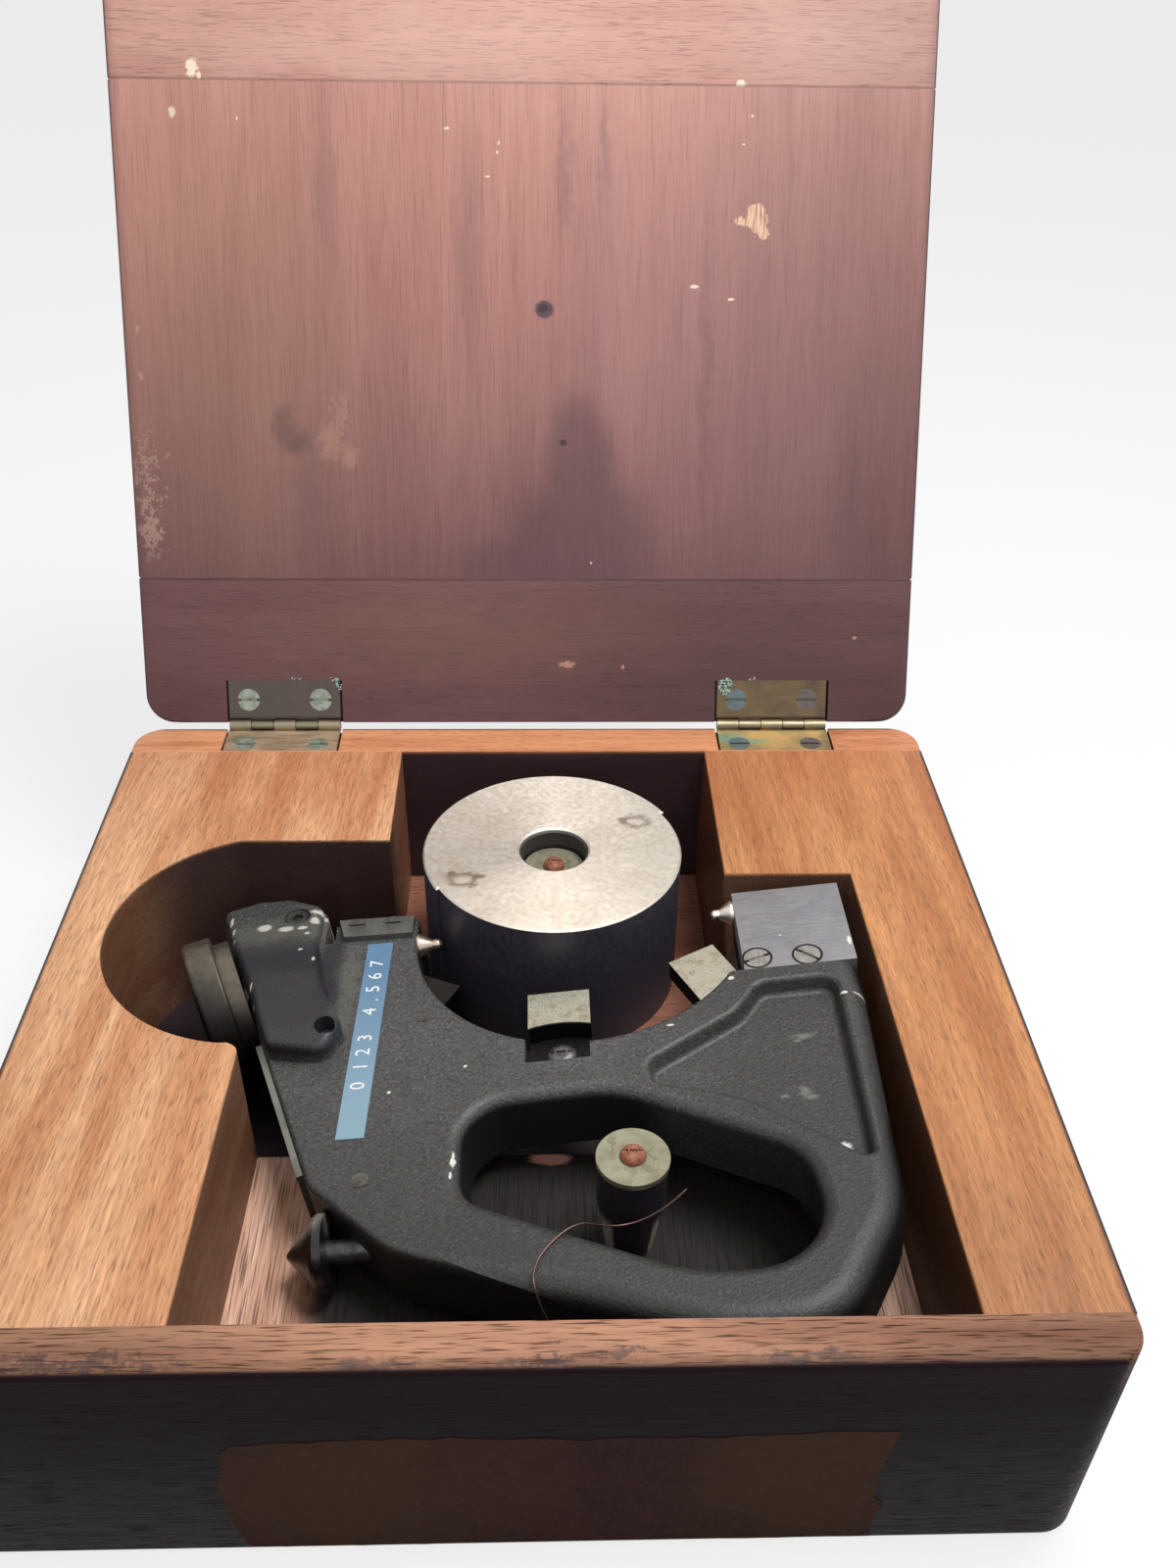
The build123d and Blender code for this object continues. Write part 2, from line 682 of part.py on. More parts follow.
# Gauge frame: one casting with a throat, a handle opening and a sunk panel
with BuildPart() as gauge_frame:
    with BuildSketch(gauge):
        with BuildLine():
            FilletPolyline(
                (throat_a - throat_r, left_arm_top_b),
                (-72.0, 22.0),
                (-73.5, 29.0),
                (-84.0, 34.5),
                (-93.5, 35.0),
                (flank(30.5), 30.5),
                (flank(-76.5), -76.5),
                (-45.5, 30.4 - handle_reach),
                (arm_reach - 47.8, -handle_reach),
                (arm_reach - 21.8, -handle_reach),
                (arm_reach - 3.2, 30.9 - handle_reach),
                (arm_reach, -28.0),
                (arm_reach, arm_top_b),
                (arm_inner_a, arm_top_b),
                radius=[0, 1, 3, 5, 5, 3, 12, 28, 40, 22, 30, 30, 1, 0],
                close=True,
            )
        make_face()
        with BuildLine():
            FilletPolyline(
                (-29.9, throat_foot - 18.6),
                (9.0, throat_foot - 17.6),
                (arm_reach - 24.3, 48.9 - handle_reach),
                (arm_reach - 20.0, 16.6 - handle_reach),
                (24.5, 17.6 - handle_reach),
                (-29.4, 43.9 - handle_reach),
                radius=[13, 30, 15, 17, 40, 10],
                close=True,
            )
        make_face(mode=Mode.SUBTRACT)
        with BuildLine():
            throat_end = throat_b - sqrt(throat_r**2 - (arm_inner_a - throat_a) ** 2)
            throat = ThreePointArc(
                (throat_a - throat_r, throat_b),
                (throat_a, throat_foot),
                (arm_inner_a, throat_end),
            )
            Polyline(throat @ 0, (throat_a - throat_r, 60), (arm_inner_a, 60), throat @ 1)
        make_face(mode=Mode.SUBTRACT)
    extrude(amount=-frame_t)
    ends = gauge_frame.faces().sort_by(tilt)
    fillet(ends[0].edges() + ends[-1].outer_wire().edges(), frame_edge_r)
    fillet(gauge_frame.faces().sort_by(tilt)[-1].inner_wires()[0].edges(), handle_edge_r)
    # The handle's outer edge is rounded for the hand; at the left the rounding runs out of the casting
    with BuildLine(gauge) as handle_edge:
        FilletPolyline(
            (-62.0, 27.4 - handle_reach),
            (-4.0, 13.7 - handle_reach),
            (arm_reach - 47.8, -handle_reach),
            (arm_reach - 21.8, -handle_reach),
            (arm_reach - 3.2, 30.9 - handle_reach),
            (arm_reach, -28.0),
            (arm_reach, 30.0),
            radius=[80, 40, 22, 30, 30],
        )
    with BuildSketch(Plane(origin=handle_edge.wires()[0] @ 0, x_dir=gauge.z_dir, z_dir=handle_edge.wires()[0] % 0)):
        with BuildLine():
            Polyline((-handle_round, 0), (-handle_round, 2), (2, 2), (2, -handle_round), (0, -handle_round))
            ThreePointArc(
                (0, -handle_round),
                (-handle_round * 0.293, -handle_round * 0.293),
                (-handle_round, 0),
            )
        make_face()
    sweep(path=handle_edge.wires()[0], mode=Mode.SUBTRACT)
    # Sunk panel with drafted walls
    with BuildSketch(gauge):
        with BuildLine():
            FilletPolyline(
                (17.8, throat_foot - 10.0),
                (43.0, throat_foot + 5.5),
                (50.0, throat_foot + 15.4),
                (arm_reach - 6.8, throat_foot + 15.4),
                (arm_reach - 7.8, -86.0),
                (42.0, 66.4 - handle_reach),
                (19.0, throat_foot - 17.5),
                radius=[4, 12, 6, 5, 2.5, 40, 4],
                close=True,
            )
        make_face()
    extrude(amount=-recess_depth, taper=recess_taper, mode=Mode.SUBTRACT)
    recess_edges = gauge_frame.edges(Select.LAST).sort_by(tilt)
    fillet([edge for edge in recess_edges if height(edge) > -0.01], recess_edge_r)
    fillet([edge for edge in gauge_frame.edges() if abs(height(edge) + recess_depth) < 0.01], recess_edge_r)
    # Milled step for the anvil block, and the gap between the arm and the cowl
    with BuildSketch(gauge):
        with Locations((arm_inner_a, block_front_b)):
            Rectangle(2 * arm_reach, 4 * arm_top_b, align=(Align.CENTER, Align.MIN))
        with Locations((throat_a - throat_r, 0)):
            Rectangle(arm_reach, 4 * arm_reach, mode=Mode.SUBTRACT)
    extrude(amount=-block_t, mode=Mode.SUBTRACT)
    with BuildSketch(gauge):
        with Locations((-70.8, 13.5)):
            Rectangle(3.0, 20.0, align=(Align.CENTER, Align.MIN))
    extrude(amount=-frame_t, mode=Mode.SUBTRACT)
    # Slot for the centre rest pad, with a lug that carries its foot
    foot_top = pad_depth + pad_t
    with BuildSketch(gauge):
        with Locations((pad_a, pad_back_b)):
            Rectangle(pad_w, -pad_back_b + pad_inner_b, align=(Align.CENTER, Align.MIN))
    extrude(amount=-foot_top - pad_foot_t, mode=Mode.SUBTRACT)
    with BuildSketch(gauge.offset(-foot_top - pad_foot_t)):
        with Locations((pad_a, pad_back_b)):
            Rectangle(pad_w, pad_step_b - pad_back_b, align=(Align.CENTER, Align.MIN))
    extrude(amount=foot_top + pad_foot_t - frame_t)
    # Bores of the spindle, the indicator's stem and the knob's shaft
    with BuildSketch(spindle_line.offset(throat_a - throat_r - 3.2)):
        Circle(tip_base_r + 0.3)
    extrude(amount=20, mode=Mode.SUBTRACT)
    with BuildSketch(spindle_line.offset(spindle_end)):
        Circle(spindle_r + spindle_fit)
    extrude(amount=-spindle_end + throat_a - throat_r, mode=Mode.SUBTRACT)
    with BuildSketch(inward):
        Circle(stem_r)
    extrude(amount=stem_length + 1, mode=Mode.SUBTRACT)
    with BuildSketch(flank_top):
        with Locations((lever_u, (lever_pivot_v - lever_room_side - 1.5 + lever_room_v) / 2)):
            Rectangle(2 * lever_room_side, lever_room_v - lever_pivot_v + lever_room_side + 1.5)
    extrude(amount=-lever_room_depth, mode=Mode.SUBTRACT)
    with BuildSketch(flank_top):
        with Locations((lever_u, lever_pivot_v)):
            Circle(lever_pin_r)
    extrude(amount=-lever_room_depth - 4, mode=Mode.SUBTRACT)
    with BuildSketch(facing(knob_base_a, knob_b, -knob_depth, 0)):
        Circle(knob_r + knob_room)
    extrude(amount=-20, mode=Mode.SUBTRACT)
    with BuildSketch(facing(knob_base_a, knob_b, -knob_depth, 0)):
        Circle(knob_shaft_r + spindle_fit)
    extrude(amount=knob_shaft_length, mode=Mode.SUBTRACT)
    # Seats of the screws and dowels
    with Locations(*[gauge.location * Location(p) for p in block_screw_places]):
        add(csk_blank(*block_screw_size), mode=Mode.SUBTRACT)
    with Locations(*[gauge.location * Location(p) for p in plate_screw_places]):
        add(csk_blank(*plate_screw_size), mode=Mode.SUBTRACT)
    with Locations(*[gauge.location * Location(p) for p in dowel_places]):
        Hole(dowel_r, depth=dowel_length)
    with Locations(*[gauge.location * Location(p[:3]) for p in cowl_screw_places]):
        Hole(cowl_screw_shank_r, depth=cowl_screw_length)
save(gauge_frame, "gauge_frame")

# Cowl: a low casting over the transfer lever, highest at the back
cowl_outline = (
    (flank(30.5) + 1.0, 30.5),
    (-93.5, 34.4),
    (-84.0, 33.9),
    (-73.6, 28.6),
    (-73.6, 12.0),
    (-69.6, -7.0),
    (-62.2, -27.0),
    (-66.0, -35.5),
    (flank(-32.0) + 1.0, -32.0),
)
with BuildPart() as cowl:
    with BuildSketch(gauge):
        with BuildLine():
            FilletPolyline(*cowl_outline, radius=[3, 5, 6, 5, 6, 20, 3, 5, 3], close=True)
        make_face()
    extrude(amount=cowl_h)
    with BuildSketch(facing(-60, 0, 0, 0)):
        with BuildLine():
            FilletPolyline(
                (-1, -38),
                (cowl_nose_h, -38),
                (cowl_nose_h + 0.8, -22),
                (cowl_h, 6),
                (cowl_h, 28),
                (cowl_h - 4, 40),
                (-1, 40),
                radius=[0, 0, 20, 20, 8, 0, 0],
                close=True,
            )
        make_face()
    extrude(amount=-80, mode=Mode.INTERSECT)
    # Its rim is rounded all along, but not the creases across its top
    fillet(
        [
            edge
            for edge in cowl.edges()
            if height(edge) > 1.0 and abs((edge @ 0 - edge @ 1).dot(gauge.y_dir)) > 0.3
        ],
        cowl_edge_r,
    )
    with BuildSketch(inward):
        Circle(stem_r)
    extrude(amount=stem_length + 1, both=True, mode=Mode.SUBTRACT)
    for a, b, h, r in cowl_screw_places:
        with Locations(gauge.location * Location((a, b, cowl_h))):
            Hole(r, depth=cowl_h - cowl_screw_floor)
            Hole(cowl_screw_shank_r, depth=cowl_h + 1)
save(cowl, "cowl")

with BuildPart() as cowl_screws:
    for a, b, h, r in cowl_screw_places:
        with BuildSketch(gauge.offset(cowl_screw_floor)):
            with Locations((a, b)):
                Circle(r - 0.4)
        extrude(amount=cowl_screw_head_h - 1.4)
        with BuildSketch(gauge.offset(cowl_screw_floor)):
            with Locations((a, b)):
                Circle(cowl_screw_shank_r)
        extrude(amount=-cowl_screw_length - cowl_screw_floor + 0.5)
        with BuildSketch(gauge.offset(cowl_screw_floor + cowl_screw_head_h - 1.4)):
            with Locations((a, b)):
                RegularPolygon(r * 0.45, 6)
        extrude(amount=-1.2, mode=Mode.SUBTRACT)
save(cowl_screws, "cowl_screws")

# Thin plate along the flank, and the embossing tape on the frame's face
with BuildPart() as side_plate:
    with BuildSketch(flank_top.offset(-1.2)):
        with Locations((-side_plate_t / 2, (side_plate_near + side_plate_far) / 2)):
            Rectangle(side_plate_t, side_plate_near - side_plate_far)
    extrude(amount=-side_plate_w)
save(side_plate, "side_plate")

with BuildPart() as blue_tape:
    with BuildSketch(gauge):
        with Locations(Location((-56.5, -26.0, 0), (0, 0, -1.5))):
            Rectangle(tape_w, tape_length)
    extrude(amount=tape_t)
save(blue_tape, "blue_tape")

with BuildPart() as dowel_pins:
    for a, b, h in dowel_places:
        with BuildSketch(gauge.offset(0.2)):
            with Locations((a, b)):
                Circle(dowel_r)
        extrude(amount=-dowel_length - 0.2)
save(dowel_pins, "dowel_pins")

# Anvil block on the right arm, flush with the frame, and its fixed tip
with BuildPart() as anvil_block:
    block_right = arm_reach - block_right_inset
    with BuildSketch(gauge):
        with Locations(((arm_inner_a + block_right) / 2, (block_front_b + arm_top_b) / 2)):
            Rectangle(block_right - arm_inner_a, arm_top_b - block_front_b)
    extrude(amount=-block_t)
    with BuildSketch(spindle_line.offset(arm_inner_a)):
        Circle(tip_shank_r)
    extrude(amount=tip_shank_length, mode=Mode.SUBTRACT)
    with Locations(*[gauge.location * Location(p) for p in block_screw_places]):
        add(csk_blank(*block_screw_size), mode=Mode.SUBTRACT)
save(anvil_block, "anvil_block")

with BuildPart() as anvil_block_screws:
    for (a, b, h), turn in zip(block_screw_places, (18, -42)):
        with Locations(gauge.location * Location((a, b, h), (0, 0, turn))):
            add(csk_screw(*block_screw_size))
save(anvil_block_screws, "anvil_block_screws")


def tip(end, base, shank_end):
    # Conical contact with a ball end, turned about the measuring line
    way = 1 if base > end else -1
    neck = end + way * tip_ball_r * 1.7
    with BuildPart() as body:
        with BuildSketch(Plane(origin=at(0, tip_b, -axis_depth), x_dir=gauge.x_dir, z_dir=gauge.z_dir)):
            with BuildLine():
                Line((base, 0), (end, 0))
                ThreePointArc(
                    (end, 0),
                    (end + way * tip_ball_r * 0.3, tip_ball_r * 0.72),
                    (end + way * tip_ball_r, tip_ball_r),
                )
                Polyline(
                    (end + way * tip_ball_r, tip_ball_r),
                    (neck, tip_ball_r * 0.95),
                    (base - way * 0.8, tip_base_r),
                    (base, tip_base_r),
                    (base, 0),
                )
            make_face()
        revolve(axis=Axis(at(0, tip_b, -axis_depth), gauge.x_dir))
        if shank_end is not None:
            with BuildSketch(spindle_line.offset(base)):
                Circle(tip_shank_r)
            extrude(amount=shank_end - base)
    return body


save(tip(fixed_tip_end, arm_inner_a, arm_inner_a + tip_shank_length), "fixed_tip")

# Moving tip on its spindle, which ends in a nose by the transfer lever
save(tip(moving_tip_end, moving_base, None), "moving_tip")
with BuildPart() as spindle:
    with BuildSketch(Plane(origin=at(0, tip_b, -axis_depth), x_dir=gauge.x_dir, z_dir=gauge.z_dir)):
        with BuildLine():
            Polyline(
                (spindle_end, 0),
                (moving_base, 0),
                (moving_base, spindle_r),
                (spindle_end + spindle_nose_length, spindle_r),
                (spindle_end + spindle_nose_length, spindle_nose_r),
                (spindle_end + spindle_nose_r / 2, spindle_nose_r),
                (spindle_end, spindle_nose_r / 2),
                close=True,
            )
        make_face()
    revolve(axis=Axis(at(0, tip_b, -axis_depth), gauge.x_dir))
save(spindle, "spindle")

# Guide plate on the left arm
with BuildPart() as guide_plate:
    with BuildSketch(gauge):
        with BuildLine():
            Polyline(
                (-68.3, left_arm_top_b),
                (throat_a - throat_r - 0.6, left_arm_top_b - 1.2),
                (throat_a - throat_r - 0.9, left_arm_top_b - 8.8),
                (-66.2, left_arm_top_b - 7.8),
                close=True,
            )
        make_face()
    extrude(amount=guide_plate_t)
    with Locations(*[gauge.location * Location(p) for p in plate_screw_places]):
        add(csk_blank(*plate_screw_size), mode=Mode.SUBTRACT)
save(guide_plate, "guide_plate")

with BuildPart() as guide_plate_screws:
    for a, b, h in plate_screw_places:
        with Locations(gauge.location * Location((a, b, h))):
            add(csk_screw(*plate_screw_size))
save(guide_plate_screws, "guide_plate_screws")

# Rest pads on the throat's wall: the centre one has a foot held by a screw
foot_plane = gauge.offset(-pad_depth - pad_t)
with BuildPart() as rest_pad_centre:
    with BuildSketch(foot_plane):
        with Locations((pad_a, pad_back_b)):
            Rectangle(pad_w, pad_inner_b - pad_back_b, align=(Align.CENTER, Align.MIN))
    extrude(amount=-pad_foot_t)
    with BuildSketch(foot_plane):
        with Locations((pad_a, pad_step_b)):
            Rectangle(pad_w, pad_inner_b - pad_step_b, align=(Align.CENTER, Align.MIN))
        with Locations((pad_a, pad_step_b - 26.6)):
            Circle(28, mode=Mode.SUBTRACT)
    extrude(amount=pad_t)
    with Locations(gauge.location * Location((pad_a, pad_screw_b, -pad_depth - pad_t))):
        Hole(small_screw_shank_r, depth=pad_foot_t)
save(rest_pad_centre, "rest_pad_centre")

with BuildPart() as rest_pad_screw:
    with Locations(gauge.location * Location((pad_a, pad_screw_b, -pad_depth - pad_t))):
        add(round_screw(pad_screw_r, pad_screw_h, small_screw_shank_r, pad_foot_t))
save(rest_pad_screw, "rest_pad_screw")

for name, place in (
    ("right", Location((37.1, -8.0, 0), (0, 0, 24.6))),
    ("left", Location((-43.8, -7.7, 0), (0, 0, -30.0))),
):
    with BuildPart() as pad:
        with BuildSketch(gauge.offset(-pad_depth)):
            with Locations((throat_a, throat_b)):
                Circle(throat_r)
            with Locations(place):
                Rectangle(side_pad_w, side_pad_length, mode=Mode.INTERSECT)
        extrude(amount=-pad_t)
    save(pad, f"rest_pad_{name}")

# Dial indicator: case and stem, then the bezel that turns on it with dial and crystal
with BuildPart() as indicator_case:
    with BuildSketch(outward):
        Circle(case_r)
    extrude(amount=case_w_back)
    with BuildSketch(inward):
        Circle(stem_r)
    extrude(amount=stem_length)
    with BuildSketch(inward.offset(stem_length)):
        Circle(plunger_r + plunger_fit)
    extrude(amount=-stem_length - 5, mode=Mode.SUBTRACT)
    with BuildSketch(outward.offset(case_w_back)):
        Circle(arbor_r + plunger_fit)
    extrude(amount=-2.4, mode=Mode.SUBTRACT)
save(indicator_case, "indicator_case")

bezel_inner_r = case_r + dial_fit
dial_w = case_w_back + touch_gap
crystal_w = bezel_start + bezel_w - bezel_lip - crystal_t
with BuildPart() as bezel:
    with BuildSketch(Plane(origin=outward.origin, x_dir=outward.x_dir, z_dir=outward.y_dir)):
        with BuildLine():
            FilletPolyline(
                (bezel_inner_r, -bezel_start),
                (bezel_r, -bezel_start),
                (bezel_r, -bezel_start - bezel_w),
                (bezel_inner_r - bezel_lip, -bezel_start - bezel_w),
                (bezel_inner_r - bezel_lip, -crystal_w - crystal_t),
                (bezel_inner_r, -crystal_w - crystal_t),
                radius=[0, 0.8, 1.6, 0, 0, 0],
                close=True,
            )
        make_face()
    revolve(axis=Axis(outward.origin, outward.z_dir))
save(bezel, "bezel")

with BuildPart() as crystal:
    with BuildSketch(outward.offset(crystal_w)):
        Circle(bezel_inner_r)
    extrude(amount=crystal_t)
save(crystal, "crystal")

with BuildPart() as dial_plate:
    with BuildSketch(outward.offset(dial_w)):
        Circle(bezel_inner_r)
        Circle(arbor_r + 0.4, mode=Mode.SUBTRACT)
    extrude(amount=dial_plate_t)
save(dial_plate, "dial_plate")

hand_w = dial_w + dial_plate_t + 0.5
with BuildPart() as hand:
    with BuildSketch(outward.offset(hand_w)):
        with BuildLine():
            Polyline((-4, -0.8), (hand_length - 3, -0.45), (hand_length, 0), (hand_length - 3, 0.45), (-4, 0.8), close=True)
        make_face()
        Circle(1.7)
    extrude(amount=hand_t)
    with BuildSketch(outward.offset(case_w_back - 2.2)):
        Circle(arbor_r)
    extrude(amount=hand_w - case_w_back + 2.2)
save(hand, "hand")

# Plunger, and the lever that passes the spindle's travel on to it
plunger_tip = lever_u - lever_t / 2 - touch_gap
with BuildPart() as plunger:
    with BuildSketch(inward.offset(plunger_tip)):
        Circle(plunger_r)
    extrude(amount=-plunger_tip - 3.5)
    chamfer(plunger.faces().sort_by(Axis(inward.origin, inward.z_dir))[-1].edges(), 0.8)
save(plunger, "plunger")

lever_top = flank_top.offset(-axis_depth + lever_h / 2)
with BuildPart() as transfer_lever:
    with BuildSketch(lever_top):
        with Locations((lever_u, (lever_pivot_v + lever_tail_v) / 2)):
            Rectangle(lever_t, lever_tail_v - lever_pivot_v)
        with Locations((lever_u, lever_pivot_v)):
            Circle(lever_boss_r)
            Circle(lever_pin_r + lever_pin_fit, mode=Mode.SUBTRACT)
    extrude(amount=-lever_h)
save(transfer_lever, "transfer_lever")

with BuildPart() as lever_pin:
    with BuildSketch(flank_top.offset(-0.4)):
        with Locations((lever_u, lever_pivot_v)):
            Circle(lever_pin_r)
    extrude(amount=-lever_room_depth - 3.6)
save(lever_pin, "lever_pin")

# Retracting knob: a blunt cone on its shaft
half = radians(knob_half_angle)
nose_r = 1.5
nose_x = nose_r / sin(half)
with BuildPart() as retract_knob:
    with BuildSketch(Plane(origin=at(knob_apex_a, knob_b, -knob_depth), x_dir=gauge.x_dir, z_dir=gauge.z_dir)):
        with BuildLine():
            Polyline((knob_cone_h, 0), (nose_x - nose_r, 0))
            ThreePointArc(
                (nose_x - nose_r, 0),
                (nose_x - nose_r * sin((half + radians(90)) / 2), nose_r * cos((half + radians(90)) / 2)),
                (nose_x - nose_r * sin(half), nose_r * cos(half)),
            )
            Polyline(
                (nose_x - nose_r * sin(half), nose_r * cos(half)),
                (knob_cone_h - 0.5, knob_r - 0.5 * tan(half)),
                (knob_cone_h + 0.5, knob_r),
                (knob_cone_h + knob_skirt, knob_r),
                (knob_cone_h + knob_skirt, knob_shaft_r),
                (knob_cone_h, knob_shaft_r),
                (knob_cone_h, 0),
            )
        make_face()
    revolve(axis=Axis(at(knob_apex_a, knob_b, -knob_depth), gauge.x_dir))
save(retract_knob, "retract_knob")

with BuildPart() as retract_shaft:
    with BuildSketch(facing(knob_apex_a + knob_cone_h, knob_b, -knob_depth, 0)):
        Circle(knob_shaft_r)
    extrude(amount=knob_skirt + knob_room + knob_shaft_length - 0.6)
save(retract_shaft, "retract_shaft")

# Wire tied over the handle, as one limp length
wire_points = (
    (24.6, -86.2, -3.0),
    (20.1, -88.6, -5.6),
    (13.0, -89.6, -9.0),
    (7.4, -90.6, -8.8),
    (3.2, -92.4, -5.2),
    (-0.4, -95.0, -0.4),
    (-4.6, -97.8, 0.6),
    (-9.7, -103.2, 0.55),
    (-11.5, -108.2, 0.55),
    (-11.4, -111.0, 0.45),
    (-10.9, -113.0, -2.0),
    (-10.2, -113.6, -6.8),
    (-9.0, -114.6, -11.4),
)


def bend_radii(points):
    # Each bend is as large as its two runs allow
    radii = []
    for before, here, after in zip(points, points[1:], points[2:]):
        one = here - before
        two = after - here
        half_turn = radians(one.get_angle(two)) / 2
        radii.append(0.45 * min(one.length, two.length) / tan(half_turn))
    return radii


wire_route = [at(*point) for point in wire_points]
wire_bends = bend_radii(wire_route)
print("tie wire bend radii", [round(r, 1) for r in wire_bends])
with BuildPart() as tie_wire:
    with BuildLine() as path:
        FilletPolyline(*wire_route, radius=wire_bends)
    with BuildSketch(Plane(origin=path.line @ 0, z_dir=path.line % 0)):
        Circle(wire_r)
    sweep()
wire_length = path.wires()[0].length
print("tie wire length", round(wire_length, 1), "volume", round(tie_wire.part.volume, 2))
save(tie_wire, "tie_wire")
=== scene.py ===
import math
import random

import bmesh
import bpy
from mathutils import Matrix, Vector


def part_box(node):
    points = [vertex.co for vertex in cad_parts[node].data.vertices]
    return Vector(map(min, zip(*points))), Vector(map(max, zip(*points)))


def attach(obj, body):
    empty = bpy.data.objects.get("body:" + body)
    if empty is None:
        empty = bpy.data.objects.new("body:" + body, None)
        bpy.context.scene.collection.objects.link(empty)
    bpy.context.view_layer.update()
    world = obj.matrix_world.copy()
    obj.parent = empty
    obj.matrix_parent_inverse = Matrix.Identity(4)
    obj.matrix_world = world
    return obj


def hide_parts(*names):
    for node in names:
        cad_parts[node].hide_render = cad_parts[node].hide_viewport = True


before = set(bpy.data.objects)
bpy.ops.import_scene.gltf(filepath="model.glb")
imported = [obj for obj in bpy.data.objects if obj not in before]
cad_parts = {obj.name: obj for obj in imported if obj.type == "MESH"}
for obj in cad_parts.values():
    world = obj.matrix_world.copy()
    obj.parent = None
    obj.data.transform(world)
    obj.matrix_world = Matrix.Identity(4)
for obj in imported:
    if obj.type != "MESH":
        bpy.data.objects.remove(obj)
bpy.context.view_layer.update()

# Camera: held above the front edge of the case, near its middle, and looking
# down into it, as in the photograph.
camera = bpy.data.objects.new("camera", bpy.data.cameras.new("camera"))
bpy.context.collection.objects.link(camera)
camera.location = (0.0049, -0.2815, 0.3219)
camera.rotation_euler = (
    Matrix.Rotation(math.radians(-2.23), 3, "Z")
    @ Matrix.Rotation(math.radians(51.5), 3, "X")
    @ Matrix.Rotation(math.radians(1.13), 3, "Z")
).to_euler()
camera.data.sensor_width = 36
camera.data.lens = 32.47
camera.data.shift_y = 0.0654
camera.data.clip_start = 0.01
bpy.context.scene.camera = camera
bpy.context.scene.view_settings.view_transform = "Standard"


# Floor and lamps: a white table top, one broad lamp high on the right, and a
# weaker one in front that lights the raised lid.
def linear(code):
    # sRGB hex to linear red, green, blue
    parts = [int(code[i : i + 2], 16) / 255 for i in (0, 2, 4)]
    return [p / 12.92 if p < 0.04045 else ((p + 0.055) / 1.055) ** 2.4 for p in parts] + [1.0]


def put(tree, kind, inputs=None, **settings):
    # Adds a shader node, with its settings, its values and what it is linked from
    node = tree.nodes.new("ShaderNode" + kind)
    for name, value in settings.items():
        setattr(node, name, value)
    for name, value in (inputs or {}).items():
        if isinstance(value, bpy.types.NodeSocket):
            tree.links.new(value, node.inputs[name])
        else:
            node.inputs[name].default_value = value
    return node


def new_piece(name, shape, material):
    # A finished mesh becomes an object at the origin, with its faces shaded smooth
    mesh = bpy.data.meshes.new(name)
    shape.to_mesh(mesh)
    shape.free()
    mesh.shade_smooth()
    piece = bpy.data.objects.new(name, mesh)
    bpy.context.collection.objects.link(piece)
    mesh.materials.append(material)
    return piece


def seen_plainly(tree):
    # 1 for what the camera, a mirror or clear glass sees, 0 for what only lights the case
    ray = put(tree, "LightPath")
    seen = ray.outputs["Is Camera Ray"]
    for kind in ("Is Glossy Ray", "Is Transmission Ray"):
        seen = put(tree, "Math", {0: seen, 1: ray.outputs[kind]}, operation="MAXIMUM").outputs[0]
    return seen


table_glow = 0.78
room_light = 0.24
lamp_aim = Vector((0, 0.05, 0.08))
table_finish = bpy.data.materials.new("white_table_top")
table_finish.use_nodes = True
tree = table_finish.node_tree
tree.nodes.clear()
glow_share = put(tree, "Math", {0: seen_plainly(tree), 1: table_glow}, operation="MULTIPLY").outputs[0]
matt_white = put(tree, "BsdfDiffuse", {"Color": linear("f4f4f4")})
white_glow = put(tree, "Emission", {"Color": linear("ffffff"), "Strength": 1.0})
mixed = put(
    tree, "MixShader",
    {0: glow_share, 1: matt_white.outputs[0], 2: white_glow.outputs[0]},
)
put(tree, "OutputMaterial", {"Surface": mixed.outputs[0]})

floor_shape = bmesh.new()
bmesh.ops.create_grid(floor_shape, x_segments=2, y_segments=2, size=4.0)
bmesh.ops.translate(floor_shape, verts=floor_shape.verts, vec=(0, 0, -0.0002))
floor = new_piece("table_top", floor_shape, table_finish)

world = bpy.data.worlds.new("studio")
bpy.context.scene.world = world
world.use_nodes = True
tree = world.node_tree
tree.nodes.clear()
strength = put(tree, "MapRange", {"Value": seen_plainly(tree), "To Min": room_light}).outputs[0]
backdrop = put(tree, "Background", {"Color": linear("ffffff"), "Strength": strength})
put(tree, "OutputWorld", {"Surface": backdrop.outputs[0]})

for name, place, size, watts in (
    ("lamp_over", (0.28, 0.02, 0.88), 0.4, 7.3),
    ("lamp_front", (-0.1, -0.8, 1.0), 0.5, 1.6),
):
    lamp = bpy.data.objects.new(name, bpy.data.lights.new(name, "AREA"))
    bpy.context.collection.objects.link(lamp)
    lamp.data.shape = "DISK"
    lamp.data.size = size
    lamp.data.energy = watts
    lamp.location = place
    lamp.rotation_euler = (lamp_aim - Vector(place)).to_track_quat("-Z", "Y").to_euler()


# Tie wire: one stiff length of thin iron wire, pushed through the handle and
# left lying over it. Drawn and annealed, it is dark with a brown bloom.
gauge_origin = (0.01249, 0.02001, 0.059167)
gauge_turn = (0.0, math.radians(-7), math.radians(0.45))
gauge_face = (
    Matrix.Translation(gauge_origin)
    @ Matrix.Rotation(gauge_turn[2], 4, "Z")
    @ Matrix.Rotation(gauge_turn[1], 4, "Y")
)

